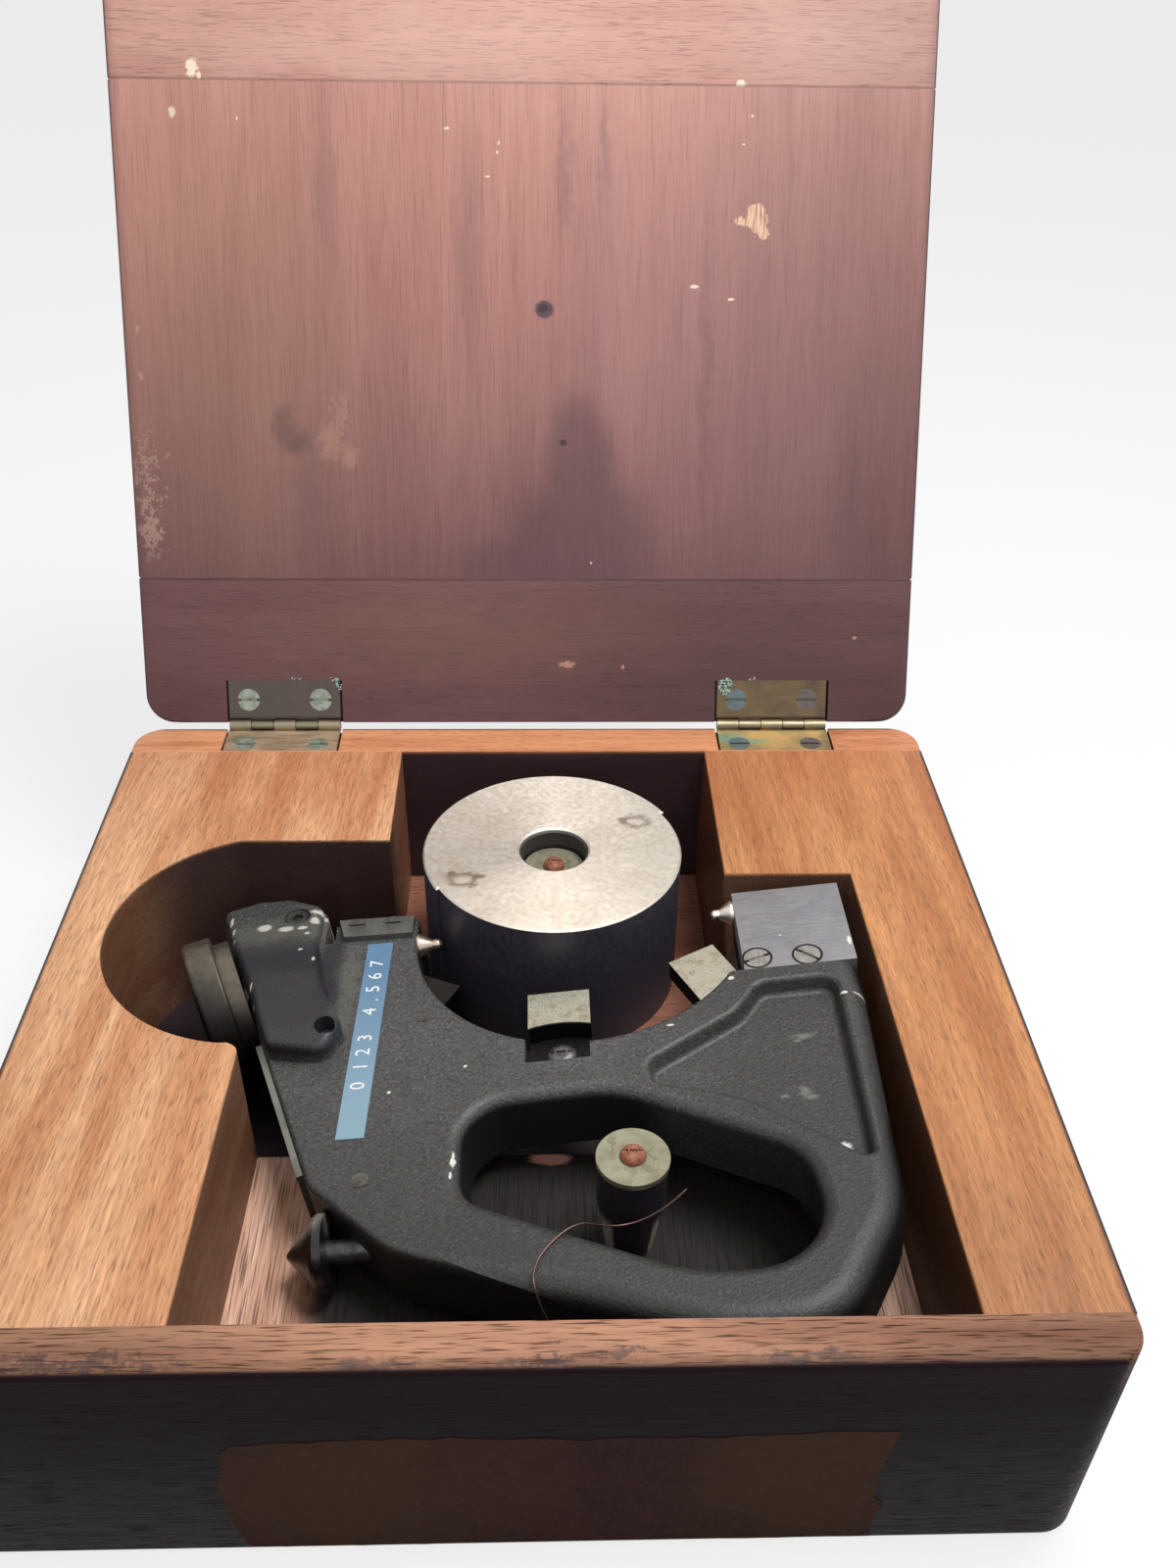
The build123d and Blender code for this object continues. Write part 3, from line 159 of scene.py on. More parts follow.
iron_wire = bpy.data.materials.new("annealed_iron_wire")
iron_wire.use_nodes = True
tree = iron_wire.node_tree
place = put(tree, "TexCoord").outputs["Object"]
bloom = put(tree, "TexNoise", {"Vector": place, "Scale": 700.0, "Detail": 3.0}).outputs["Fac"]
shader = tree.nodes["Principled BSDF"]
wire_colour = put(tree, "Mix", {0: bloom, 6: linear("5a5254"), 7: linear("7a5448")}, data_type="RGBA")
tree.links.new(wire_colour.outputs[2], shader.inputs["Base Color"])
shader.inputs["Metallic"].default_value = 0.8
shader.inputs["Roughness"].default_value = 0.42

# Points of the route in mm, on the gauge's own face: right, back and up
wire_route = (
    (24.6, -86.2, -3.0), (20.1, -88.6, -5.6), (13.0, -89.6, -9.0), (7.4, -90.6, -8.8), (3.2, -92.4, -5.2),
    (-0.4, -95.0, -0.4), (-4.6, -97.8, 0.6), (-9.7, -103.2, 0.55), (-11.5, -108.2, 0.55),
    (-11.4, -111.0, 0.45), (-10.9, -113.0, -2.0), (-10.2, -113.6, -6.8), (-9.0, -114.6, -11.4),
)
wire_thickness = 0.0005
wire_line = bpy.data.curves.new("wire_over_handle", "CURVE")
wire_line.dimensions = "3D"
wire_line.bevel_depth = wire_thickness / 2
wire_line.bevel_resolution = 3
wire_line.use_fill_caps = True
spline = wire_line.splines.new("NURBS")
spline.points.add(len(wire_route) - 1)
for point, (a, b, c) in zip(spline.points, wire_route):
    point.co = (*(gauge_face @ Vector((a / 1000, b / 1000, c / 1000))), 1.0)
spline.order_u = 3
spline.use_endpoint_u = True
spline.resolution_u = 6
wire_line.materials.append(iron_wire)
wire_over_handle = bpy.data.objects.new("wire_over_handle", wire_line)
bpy.context.collection.objects.link(wire_over_handle)
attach(wire_over_handle, "gauge")
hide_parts("tie_wire")


# Case boards: solid mahogany, planed and varnished long ago. The varnish has
# worn off the rim, whose open pores show as short dark dashes. The near-black
# outside colour is old varnish together with painted shade on the front face.
def oiled_board(
    name, grain_turn, dark, middle, light, shift=(0, 0, 0),
    pore_depth=0.5, pore_reach=170, gloss=0.42, streaks=0.15, fibre=(22, 620),
):
    material = bpy.data.materials.new(name)
    material.use_nodes = True
    tree = material.node_tree
    shader = tree.nodes["Principled BSDF"]
    place = put(tree, "TexCoord").outputs["Object"]
    along = put(tree, "Mapping", {"Vector": place, "Location": shift, "Rotation": grain_turn}).outputs[0]
    # Figure runs for about 165 mm along the grain and 14 mm across it. Pores are
    # drawn 0.45 mm wide, twice their real width, so that they show.
    figure, streak, pore = [
        put(tree, "TexNoise", {
            "Vector": put(tree, "Mapping", {"Vector": along, "Scale": stretch}).outputs[0],
            "Scale": 1.0, "Detail": detail, "Roughness": roughness, "Distortion": distortion,
        }).outputs["Fac"]
        for stretch, detail, roughness, distortion in (
            ((6, 70, 70), 5.0, 0.6, 0.5),
            ((fibre[0], fibre[1], fibre[1]), 4.0, 0.65, 0.0),
            ((pore_reach, 2200, 2200), 1.0, 0.5, 0.0),
        )
    ]
    pores = put(
        tree, "MapRange", {"Value": pore, "From Min": 0.54, "From Max": 0.68}, interpolation_type="SMOOTHSTEP"
    ).outputs[0]
    ground = linear(dark)
    for lighter, low, high in ((middle, 0.3, 0.52), (light, 0.48, 0.72)):
        share = put(tree, "MapRange", {"Value": figure, "From Min": low, "From Max": high}).outputs[0]
        ground = put(tree, "Mix", {0: share, 6: ground, 7: linear(lighter)}, data_type="RGBA").outputs[2]
    shade = put(tree, "MapRange", {
        "Value": streak, "From Min": 0.3, "From Max": 0.7, "To Min": 1 - streaks, "To Max": 1 + streaks,
    }).outputs[0]
    left = put(tree, "Math", {0: pores, 1: -pore_depth, 2: 1.0}, operation="MULTIPLY_ADD").outputs[0]
    shade = put(tree, "Math", {0: shade, 1: left}, operation="MULTIPLY").outputs[0]
    colour = put(tree, "VectorMath", {0: ground, "Scale": shade}, operation="SCALE").outputs[0]
    rough = put(tree, "MapRange", {
        "Value": shade, "From Min": 0.5, "From Max": 1.1, "To Min": gloss + 0.22, "To Max": gloss,
    }).outputs[0]
    bump = put(tree, "Bump", {"Height": shade, "Strength": 0.3, "Distance": 0.0003})
    tree.links.new(bump.outputs[0], shader.inputs["Normal"])
    tree.links.new(colour, shader.inputs["Base Color"])
    tree.links.new(rough, shader.inputs["Roughness"])
    shader.inputs["Specular IOR Level"].default_value = 0.35
    return {"material": material, "tree": tree, "shader": shader, "place": place, "colour": colour}


def recolour(finish, colour):
    # Puts a new colour on top of the finish, and keeps it for the next layer
    finish["colour"] = colour
    finish["tree"].links.new(colour, finish["shader"].inputs["Base Color"])


def tint(finish, mask, code, strength=1.0):
    # Lays a colour over the finish where the mask is
    tree = finish["tree"]
    share = put(tree, "Math", {0: mask, 1: strength}, operation="MULTIPLY").outputs[0]
    laid = put(tree, "Mix", {0: share, 6: finish["colour"], 7: linear(code)}, data_type="RGBA")
    recolour(finish, laid.outputs[2])


def darken(finish, mask, least):
    # Darkens the finish down to the share least where the mask is
    tree = finish["tree"]
    left = put(tree, "Math", {0: mask, 1: least - 1.0, 2: 1.0}, operation="MULTIPLY_ADD").outputs[0]
    dark = put(tree, "VectorMath", {0: finish["colour"], "Scale": left}, operation="SCALE")
    recolour(finish, dark.outputs[0])


def beyond(finish, axis, start, full, place=None):
    # Mask that rises from 0 at start to 1 at full along one axis, in metres
    tree = finish["tree"]
    parts = put(tree, "SeparateXYZ", {0: finish["place"] if place is None else place})
    return put(
        tree, "MapRange", {"Value": parts.outputs[axis], "From Min": start, "From Max": full},
        interpolation_type="SMOOTHSTEP",
    ).outputs[0]


def spots(finish, marks, ragged=0.5, grain=900.0, soft=0.3, place=None):
    # Mask of oval marks, each at x and y with its half sizes in mm, with ragged outlines
    tree = finish["tree"]
    place = finish["place"] if place is None else place
    wander = put(
        tree, "TexNoise", {"Vector": place, "Scale": grain, "Detail": 4.0, "Roughness": 0.65}
    )
    push = put(
        tree, "VectorMath", {0: wander.outputs["Color"], 1: (0.5, 0.5, 0.5)}, operation="SUBTRACT"
    )
    total = None
    for x, y, half_x, half_y in marks:
        stray = ragged * max(half_x, half_y) / 1000
        shift = put(tree, "VectorMath", {0: push.outputs[0], "Scale": stray}, operation="SCALE")
        moved = put(tree, "VectorMath", {0: place, 1: shift.outputs[0]}, operation="ADD")
        local = put(
            tree, "Mapping",
            {"Vector": moved.outputs[0], "Location": (x / 1000, y / 1000, 0),
             "Scale": (half_x / 1000, half_y / 1000, 1.0)},
            vector_type="TEXTURE",
        )
        flat = put(tree, "VectorMath", {0: local.outputs[0], 1: (1, 1, 0)}, operation="MULTIPLY")
        reach = put(tree, "VectorMath", {0: flat.outputs[0]}, operation="LENGTH").outputs["Value"]
        edge = put(
            tree, "MapRange", {"Value": reach, "From Min": 1 + soft, "From Max": 1 - soft},
            interpolation_type="SMOOTHSTEP",
        ).outputs[0]
        if total is not None:
            edge = put(tree, "Math", {0: total, 1: edge}, operation="MAXIMUM").outputs[0]
        total = edge
    return total


def overlap(finish, mask, *others):
    # Mask of where all the masks overlap
    for other in others:
        mask = put(finish["tree"], "Math", {0: mask, 1: other}, operation="MULTIPLY").outputs[0]
    return mask


def merged(node):
    # A copy of a CAD node's mesh with whole faces, ready to be worked on
    shape = bmesh.new()
    shape.from_mesh(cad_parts[node].data)
    bmesh.ops.remove_doubles(shape, verts=shape.verts, dist=1e-6)
    bmesh.ops.dissolve_limit(shape, angle_limit=math.radians(1), verts=shape.verts, edges=shape.edges)
    return shape


def round_over(shape, width, wanted, segments=3):
    # Rounds the chosen sharp edges over, as a plane, sandpaper and wear do
    edges = [
        edge
        for edge in shape.edges
        if len(edge.link_faces) == 2
        and edge.calc_face_angle(0) > math.radians(35)
        and wanted((edge.verts[0].co + edge.verts[1].co) / 2, edge.verts[1].co - edge.verts[0].co)
    ]
    bmesh.ops.bevel(
        shape, geom=edges, offset=width, offset_type="OFFSET", affect="EDGES",
        segments=segments, profile=0.5, material=-1, clamp_overlap=True,
    )


def board(shape, name, node, body, finish):
    # A worked copy of a CAD board, which stands in for it
    piece = new_piece(name, shape, finish["material"])
    piece.data.set_sharp_from_angle(angle=math.radians(32))
    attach(piece, body)
    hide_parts(node)


def dress(node, finish):
    # Gives a CAD node its finish
    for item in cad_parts[node].material_slots:
        item.material = finish["material"]


quarter = math.radians(90)
hinge_middle, hinge_half = 0.0809, 0.0195
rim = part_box("back_board")[1][2]
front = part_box("front_board")[0][1]
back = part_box("back_board")[1][1]
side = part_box("right_block")[1][0]
front_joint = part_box("front_board")[1][1]
back_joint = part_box("back_board")[0][1]
# Near-black outside colour: old varnish, made darker as painted shade for the front face
varnish_and_shade = "1d1115"


def varnish_ends(wood, reach=side):
    # The ends of a board that show on the outside are varnished, below the worn rim
    for edge in (-reach, reach):
        inward = -math.copysign(0.005, edge)
        outer = overlap(
            wood, beyond(wood, "X", edge + inward, edge + inward * 0.5),
            beyond(wood, "Z", rim - 0.0008, rim - 0.0022),
        )
        tint(wood, outer, varnish_and_shade)


front_wood = oiled_board(
    "worn_mahogany_front", (0, 0, 0), "8a5f4b", "b0816a", "c99878",
    shift=(0.3, 0.1, 0.2), pore_depth=0.72, pore_reach=110,
)
worn_lip = beyond(front_wood, "Y", front + 0.0046, front + 0.0018)
darken(front_wood, worn_lip, 0.62)
grey_wear = spots(front_wood, (
    (-30, -118.6, 9, 1.2), (5, -118.9, 16, 1.0), (58, -117.6, 12, 1.6), (20, -116.2, 7, 0.7),
    (-88, -117.5, 20, 1.6),
), ragged=1.2, grain=260, soft=0.6)
tint(front_wood, grey_wear, "4d4448", 0.6)
darken(front_wood, beyond(front_wood, "X", 0.02, 0.125), 0.62)
darken(front_wood, beyond(front_wood, "X", -0.03, -0.1), 0.72)
tint(front_wood, beyond(front_wood, "Y", front + 0.0018, front + 0.0006), varnish_and_shade)
front_wood["shader"].inputs["Specular IOR Level"].default_value = 0.05
varnish_ends(front_wood)
# Painted shade: the front face grows darker further down from the rim
tint(front_wood, beyond(front_wood, "Z", rim - 0.003, rim - 0.014), "150c10", 0.9)
shape = merged("front_board")
round_over(shape, 0.0012, lambda middle, way: middle.y < front_joint - 0.0005)
board(shape, "board_front", "front_board", "case", front_wood)

back_wood = oiled_board(
    "worn_mahogany_back", (0, 0, 0), "b4714c", "cf8a62", "de9d72", shift=(0.1, 0.4, 0.1), pore_depth=0.3
)
# Painted shade on the back board's inner face below the rim, darkened and cooled
shaded_inside = beyond(back_wood, "Z", rim - 0.0002, rim - 0.0014)
darken(back_wood, shaded_inside, 0.16)
tint(back_wood, shaded_inside, "40303c", 0.75)
tint(back_wood, beyond(back_wood, "Y", back - 0.0018, back - 0.0006), varnish_and_shade, 0.95)
varnish_ends(back_wood)
shape = merged("back_board")
round_over(
    shape, 0.0009,
    lambda middle, way: middle.y > back_joint + 0.0005 and abs(abs(middle.x) - hinge_middle) > hinge_half,
)
board(shape, "board_back", "back_board", "case", back_wood)

# End blocks: thick mahogany, sawn out for the gauge and the disc, with the grain
# from front to back. Their unfinished saw cuts carry painted shade below the rim, deepest on the right block.
left_wood = oiled_board(
    "worn_mahogany_left", (0, 0, math.radians(-87)), "b87a52", "cf986e", "e2b088",
    shift=(0.0, 0.2, 0.3), pore_depth=0.34, pore_reach=210, streaks=0.3, fibre=(75, 1150),
)
right_wood = oiled_board(
    "worn_mahogany_right", (0, 0, math.radians(-92)), "a2633a", "b97d50", "ca8e5e",
    shift=(0.2, 0.05, 0.15), pore_depth=0.3, pore_reach=210, streaks=0.26, fibre=(75, 1150),
)
for wood, node, name, least, edge, near in (
    (left_wood, "left_block", "block_left", 0.62, -side, (-0.1, -0.125)),
    (right_wood, "right_block", "block_right", 0.32, side, (-0.02, -0.115)),
):
    # Painted shade down the sawn walls; the right block's walls, facing away from the lamp, are darker than
    # the left's
    cut = beyond(wood, "Z", rim - 0.0003, rim - 0.0016)
    tint(wood, cut, "5c352a", 0.62)
    darken(wood, cut, least)
    darken(wood, beyond(wood, "Y", *near), 0.8)
    tint(wood, beyond(wood, "Y", 0.045, 0.11), "b4644a", 0.22)
    if node == "left_block":
        # Painted shade on the wall of the round cut-out for the disc
        shaded = spots(wood, ((-66, 50, 44, 21),), ragged=0.1, soft=0.3)
        tint(wood, overlap(wood, shaded, cut), "1c1622", 0.75)
    way_out = math.copysign(1, edge)
    outside = beyond(wood, "X", edge - way_out * 0.0016, edge - way_out * 0.0004)
    tint(wood, outside, varnish_and_shade)
    shape = merged(node)
    if node == "left_block":
        # The corner between the round cut-out and the pocket is broken off
        round_over(
            shape, 0.0032,
            lambda middle, way: abs(middle.x + 0.0725) < 0.002 and abs(middle.y + 0.0267) < 0.003
            and abs(way.z) > 0.01,
        )
    round_over(
        shape, 0.0005,
        lambda middle, way: front_joint + 0.0005 < middle.y < back_joint - 0.0005 and middle.z > rim - 0.001,
    )
    board(shape, name, node, "case", wood)

# Bottom board: the floor of the pockets, with painted shade where the gauge hangs
# over it, and varnished underneath and along its outer edges.
base_wood = oiled_board("mahogany_bottom", (0, 0, 0), "7a4a38", "93604c", "a6735a", shift=(0.5, 0.2, 0.1))
# Painted shade on the floor under the gauge
shade_under_gauge = spots(base_wood, ((-70, 10, 56, 70), (5, -40, 90, 62)), ragged=0.2, grain=60, soft=0.1)
tint(base_wood, shade_under_gauge, "1a131b", 0.97)
tint(base_wood, beyond(base_wood, "Z", 0.003, 0.001), varnish_and_shade)
base_low, base_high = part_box("bottom_board")
varnish_ends(base_wood, base_high[0])
for edge, way_in in ((base_low[1], 1), (base_high[1], -1)):
    tint(base_wood, beyond(base_wood, "Y", edge + way_in * 0.0016, edge + way_in * 0.0004), varnish_and_shade)
dress("bottom_board", base_wood)

# Raised board in the gauge's pocket: a thin bare board, never varnished, with
# its grain from front to back and coarse open pores. Its middle carries the gauge's painted shadow.
bare_wood = oiled_board(
    "bare_mahogany", (0, 0, -quarter), "b27f67", "dcb098", "f0c8b2",
    shift=(0.4, 0.6, 0.2), pore_depth=0.6, pore_reach=70, gloss=0.62, streaks=0.36, fibre=(45, 1000),
)
# Painted shadow of the gauge over the middle of the board
shadow_under_handle = spots(bare_wood, ((14, -74, 67, 60),), ragged=0.1, grain=60, soft=0.07)
tint(bare_wood, shadow_under_handle, "24171f", 0.95)
darken(bare_wood, shadow_under_handle, 0.17)
# Painted pool of light on the board, under the handle's hole
painted_light_patch = spots(bare_wood, ((6, -30.4, 5.2, 2.2),), ragged=0.4, soft=0.3)
tint(bare_wood, painted_light_patch, "e0a090", 0.95)
dress("rest_board", bare_wood)

# Lid: a wide panel with its grain from hinge to edge, between two cross rails.
# Its inner face runs from pale at the top to dull red-brown below: bleached wood and painted light together.
lid_lean = math.radians(63.7)
lid_grain = (-lid_lean, 0, -quarter)
lid_cross = (-lid_lean, 0, 0)
pin_along = 0.1164
lid_inner = -0.0782
lid_reach = 0.24
half_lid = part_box("lid_panel")[1][0]


def set_stops(run, stops):
    # Spreads colours along a colour ramp, from 0 to 1
    elements = run.color_ramp.elements
    for step, (share, colour) in enumerate(stops):
        stop = elements[step] if step < 2 else elements.new(share)
        stop.position = share
        stop.color = colour


def lid_board(name, grain, pore_depth, pore_reach):
    # The colours follow the height over the hinge pin, read off the lid's own slope
    wood = oiled_board(
        name, grain, "e6dedc", "f2efec", "fdfbf8",
        pore_depth=pore_depth, pore_reach=pore_reach, gloss=0.52, streaks=0.06,
    )
    tree = wood["tree"]
    on_lid = put(tree, "Mapping", {"Vector": wood["place"], "Rotation": lid_grain})
    wood["slope"] = on_lid.outputs[0]
    parts = put(tree, "SeparateXYZ", {0: wood["slope"]})
    # A slow drift keeps the bands from running straight
    drift = put(tree, "TexNoise", {"Vector": wood["slope"], "Scale": 14.0, "Detail": 3.0}).outputs["Fac"]
    rise = put(tree, "MapRange", {
        "Value": parts.outputs["X"], "From Min": pin_along, "From Max": pin_along + lid_reach,
    }).outputs[0]
    rise = put(tree, "Math", {0: drift, 1: 0.16, 2: rise}, operation="MULTIPLY_ADD").outputs[0]
    rise = put(tree, "Math", {0: rise, 1: 0.08}, operation="SUBTRACT").outputs[0]
    # Colours up the lid: bleached wood and painted light together, paler towards the top
    bleach_and_light = put(tree, "ValToRGB", {"Fac": rise})
    set_stops(bleach_and_light, [(share, linear(code)) for share, code in (
        (0.0, "664549"), (0.2, "7a5557"), (0.4, "9e726e"),
        (0.58, "b5827a"), (0.76, "c59185"), (0.92, "d2a397"),
    )])
    grained = put(tree, "VectorMath", {0: bleach_and_light.outputs[0], 1: wood["colour"]}, operation="MULTIPLY")
    recolour(wood, grained.outputs[0])
    return wood


def on_slope(wood, marks, **settings):
    # Marks given by their height over the pin and their distance to the right, in mm
    turned = [(pin_along * 1000 + up, -aside, tall, wide) for up, aside, tall, wide in marks]
    return spots(wood, turned, place=wood["slope"], **settings)


def stain(wood, *rows):
    # Each row: colour, strength, how ragged, fineness of the ragged edge, how soft, and the marks
    for code, strength, ragged, grain, soft, *marks in rows:
        tint(wood, on_slope(wood, marks, ragged=ragged, grain=grain, soft=soft), code, strength)


panel_wood = lid_board("lid_panel_mahogany", lid_grain, 0.16, 60)
# Broad clouds and dark streaks of the figure
stain(
    panel_wood,
    ("8d6a70", 0.32, 0.5, 40, 0.8, (130, 78, 70, 52), (150, 25, 40, 12)),
    ("92715a", 0.3, 0.5, 40, 0.8, (110, -92, 60, 34)),
    ("6f5058", 0.36, 0.6, 160, 0.8, (173, 11.5, 18, 2.2), (178, 24.5, 13, 1.6), (70, -70, 24, 5)),
    ("5e434c", 0.3, 0.3, 60, 0.95, (100, 57, 40, 1.6), (62, 104, 30, 4), (165, -62, 26, 3),
     (150, -18, 30, 4)),
)
darken(panel_wood, on_slope(panel_wood, ((100, 124, 150, 56),), ragged=0.1, grain=40, soft=0.9), 0.66)
# Painted shade over the disc, the smudge on the left, the two holes, scuffs and pale flecks
stain(
    panel_wood,
    # First row: the painted shade over the disc
    ("5b4046", 0.62, 0.3, 60, 0.35, (60, 17, 22, 22), (82, 16.5, 22, 11), (52, 10, 9, 30)),
    ("54423f", 0.5, 1.0, 220, 0.6, (95, -77.5, 6, 3.5), (90, -74, 3, 5)),
    ("4a3a44", 0.92, 0.35, 900, 0.2, (130.7, 5.5, 2.6, 2.9)),
    ("2f222a", 0.8, 0.4, 900, 0.3, (131.0, 5.2, 1.3, 1.5), (90.6, 11.4, 1.0, 1.2)),
    ("c69a86", 0.3, 2.2, 500, 0.5, (96, -61, 9, 1.3), (90, -63, 5, 3.6), (100, -58, 5, 1.0),
     (86, -57, 3, 2.4)),
    ("cfae9c", 0.45, 2.4, 420, 0.6, (76, -122.3, 18, 1.6), (64, -121.4, 8, 1.5),
     (110, -121.6, 1.2, 0.8), (124, -121.6, 1.0, 0.6)),
    ("ecd8c0", 0.85, 1.3, 700, 0.3, (186.2, -107.3, 1.5, 1.0), (184.7, -87.8, 0.5, 0.3),
     (182.6, -24.1, 0.5, 0.8), (178.7, -8.3, 0.6, 0.3), (176.0, -8.8, 0.4, 0.4), (169.1, -11.8, 0.3, 0.8),
     (137.8, 52.7, 0.5, 1.2), (134.1, 64.4, 0.4, 1.0), (187.1, 69.8, 0.3, 0.5), (179.0, 67.3, 0.3, 0.4),
     (53.0, 20.5, 0.4, 0.3)),
)
# The gouge at the right, with torn fibres in it
gouge = on_slope(
    panel_wood, ((157.8, 71.9, 4.4, 3.6), (154.6, 73.8, 3.0, 1.6), (157.0, 68.6, 1.4, 3.6)),
    ragged=1.3, grain=330, soft=0.12,
)
tint(panel_wood, gouge, "e0b99c", 0.92)
tree = panel_wood["tree"]
fibres = put(tree, "Mapping", {"Vector": panel_wood["slope"], "Scale": (180, 1500, 1)})
splinters = put(tree, "TexNoise", {"Vector": fibres.outputs[0], "Scale": 1.0, "Detail": 2.0})
torn_up = put(tree, "MapRange", {"Value": splinters.outputs["Fac"], "From Min": 0.5, "From Max": 0.62})
tint(panel_wood, overlap(panel_wood, torn_up.outputs[0], gouge), "8a5c4a", 0.75)

rail_wood = lid_board("lid_rail_mahogany", lid_cross, 0.3, 130)
stain(
    rail_wood,
    ("e2b9ae", 0.35, 0.5, 50, 0.8, (204, -30, 12, 70), (206, 90, 12, 30)),
    ("f3e2c8", 0.95, 1.3, 700, 0.25, (198.6, -100.6, 2.6, 1.5), (196.6, -98.6, 1.0, 0.7),
     (196, 66, 1.2, 1.4)),
)
darken(rail_wood, beyond(rail_wood, "X", 0.03, 0.13), 0.7)
low_rail_wood = lid_board("lid_low_rail_mahogany", lid_cross, 0.2, 130)
stain(low_rail_wood, ("7d5a4c", 0.4, 0.6, 50, 0.8, (30, -20, 12, 60)))
darken(low_rail_wood, beyond(low_rail_wood, "X", -0.03, 0.08), 0.7)
stain(low_rail_wood, (
    "c08f7f", 0.8, 1.2, 700, 0.3, (20.2, 12.5, 0.8, 2.6), (19.3, 31.0, 0.7, 0.6), (29, 108, 0.5, 0.7),
))
high_joint, low_joint = 195.6, 47.6
# The glued joints of the rails show as fine dark lines
for wood, height in (
    (panel_wood, high_joint), (rail_wood, high_joint), (panel_wood, low_joint), (low_rail_wood, low_joint),
):
    line = on_slope(wood, ((height, 0, 0.35, 4000),), ragged=0.0, soft=0.7)
    darken(wood, line, 0.62)
for wood, node, name in (
    (panel_wood, "lid_panel", "panel_of_lid"),
    (rail_wood, "lid_front_rail", "front_rail_of_lid"),
    (low_rail_wood, "lid_rear_rail", "rear_rail_of_lid"),
):
    # The rim of the inner face and the outside kept more of their varnish
    for edge in (-half_lid, half_lid):
        way_out = math.copysign(1, edge)
        tint(wood, beyond(wood, "X", edge - way_out * 0.004, edge + way_out * 0.001), "5d3d42", 0.55)
        tint(wood, beyond(wood, "X", edge - way_out * 0.0009, edge - way_out * 0.0002), "36232a", 0.9)
    outside = beyond(wood, "Z", lid_inner - 0.0009, lid_inner - 0.0024, place=wood["slope"])
    tint(wood, outside, varnish_and_shade)
    shape = merged(node)
    round_over(shape, 0.0009, lambda middle, way: abs(middle.x) > half_lid - 0.0095)
    board(shape, name, node, "lid", wood)


# Hinges: pressed brass butt hinges let into both boards. The leaves have gone
# brown, the knuckles are rubbed bright with a painted highlight on top and painted shade below, and two
# corners carry a verdigris crust.
def surface(
    name, pale, stained, roughness, scratch=(900, 40, 900), cloud=160.0, share=(0.42, 0.68),
    metallic=1.0, grain_depth=0.12,
):
    # Metal, or with metallic=0.0 any other fine surface: clouds of stain over a brushed grain
    material = bpy.data.materials.new(name)
    material.use_nodes = True
    tree = material.node_tree
    shader = tree.nodes["Principled BSDF"]
    place = put(tree, "TexCoord").outputs["Object"]
    clouds = put(tree, "TexNoise", {"Vector": place, "Scale": cloud, "Detail": 5.0, "Roughness": 0.6})
    stain_share = put(tree, "MapRange", {
        "Value": clouds.outputs["Fac"], "From Min": share[0], "From Max": share[1],
    }).outputs[0]
    colour = put(
        tree, "Mix", {0: stain_share, 6: linear(pale), 7: linear(stained)}, data_type="RGBA"
    ).outputs[2]
    lines = put(tree, "Mapping", {"Vector": place, "Scale": scratch})
    grain = put(tree, "TexNoise", {"Vector": lines.outputs[0], "Scale": 2.0, "Detail": 3.0}).outputs["Fac"]
    rough = put(tree, "MapRange", {
        "Value": grain, "From Min": 0.3, "From Max": 0.7,
        "To Min": roughness - 0.07, "To Max": roughness + 0.12,
    }).outputs[0]
    bump = put(tree, "Bump", {"Height": grain, "Strength": grain_depth, "Distance": 0.0002})
    tree.links.new(bump.outputs[0], shader.inputs["Normal"])
    tree.links.new(colour, shader.inputs["Base Color"])
    tree.links.new(rough, shader.inputs["Roughness"])
    shader.inputs["Metallic"].default_value = metallic
    return {"material": material, "tree": tree, "shader": shader, "place": place, "colour": colour}


pin_y, pin_z = 121.64, 69.748
for node, pale, stained, gold_and_highlight in (
    ("hinge_lid_leaf_left", "5a504c", "514e48", "77725d"),
    ("hinge_lid_leaf_right", "716047", "5a4e45", "7c745f"),
    ("hinge_case_leaf_left", "ead0b0", "cab494", "827a68"),
    ("hinge_case_leaf_right", "c9b07c", "a39570", "7c745f"),
    ("hinge_pins", "8a7550", "5e5140", "d9c389"),
):
    brass = surface(node + "_brass", pale, stained, 0.4, scratch=(60, 900, 900), cloud=110.0)
    # Knuckles: painted shade all round, then rubbed gold with a painted highlight on their upper front
    turned = put(brass["tree"], "Mapping", {"Vector": brass["place"], "Rotation": (0, -quarter, 0)})
    near = spots(brass, ((-pin_z, pin_y, 3.0, 3.0),), ragged=0.0, soft=0.12, place=turned.outputs[0])
    front_side = beyond(brass, "Y", pin_y / 1000 + 0.0002, pin_y / 1000 - 0.0012)
    upper_side = beyond(brass, "Z", pin_z / 1000 + 0.0001, pin_z / 1000 + 0.0012)
    tint(brass, near, "3f352e", 0.7)
    tint(brass, overlap(brass, near, front_side, upper_side), gold_and_highlight, 0.95)
    if node == "hinge_case_leaf_right":
        green = spots(brass, ((66, 114, 6, 3), (74, 112.5, 5, 1.4)), ragged=1.4, grain=380, soft=0.3)
        tint(brass, green, "8fb39a", 0.8)
    if node == "hinge_case_leaf_left":
        green = spots(brass, ((-94, 113.5, 4, 2.4),), ragged=1.4, grain=380, soft=0.3)
        tint(brass, green, "93a07c", 0.6)
    dress(node, brass)

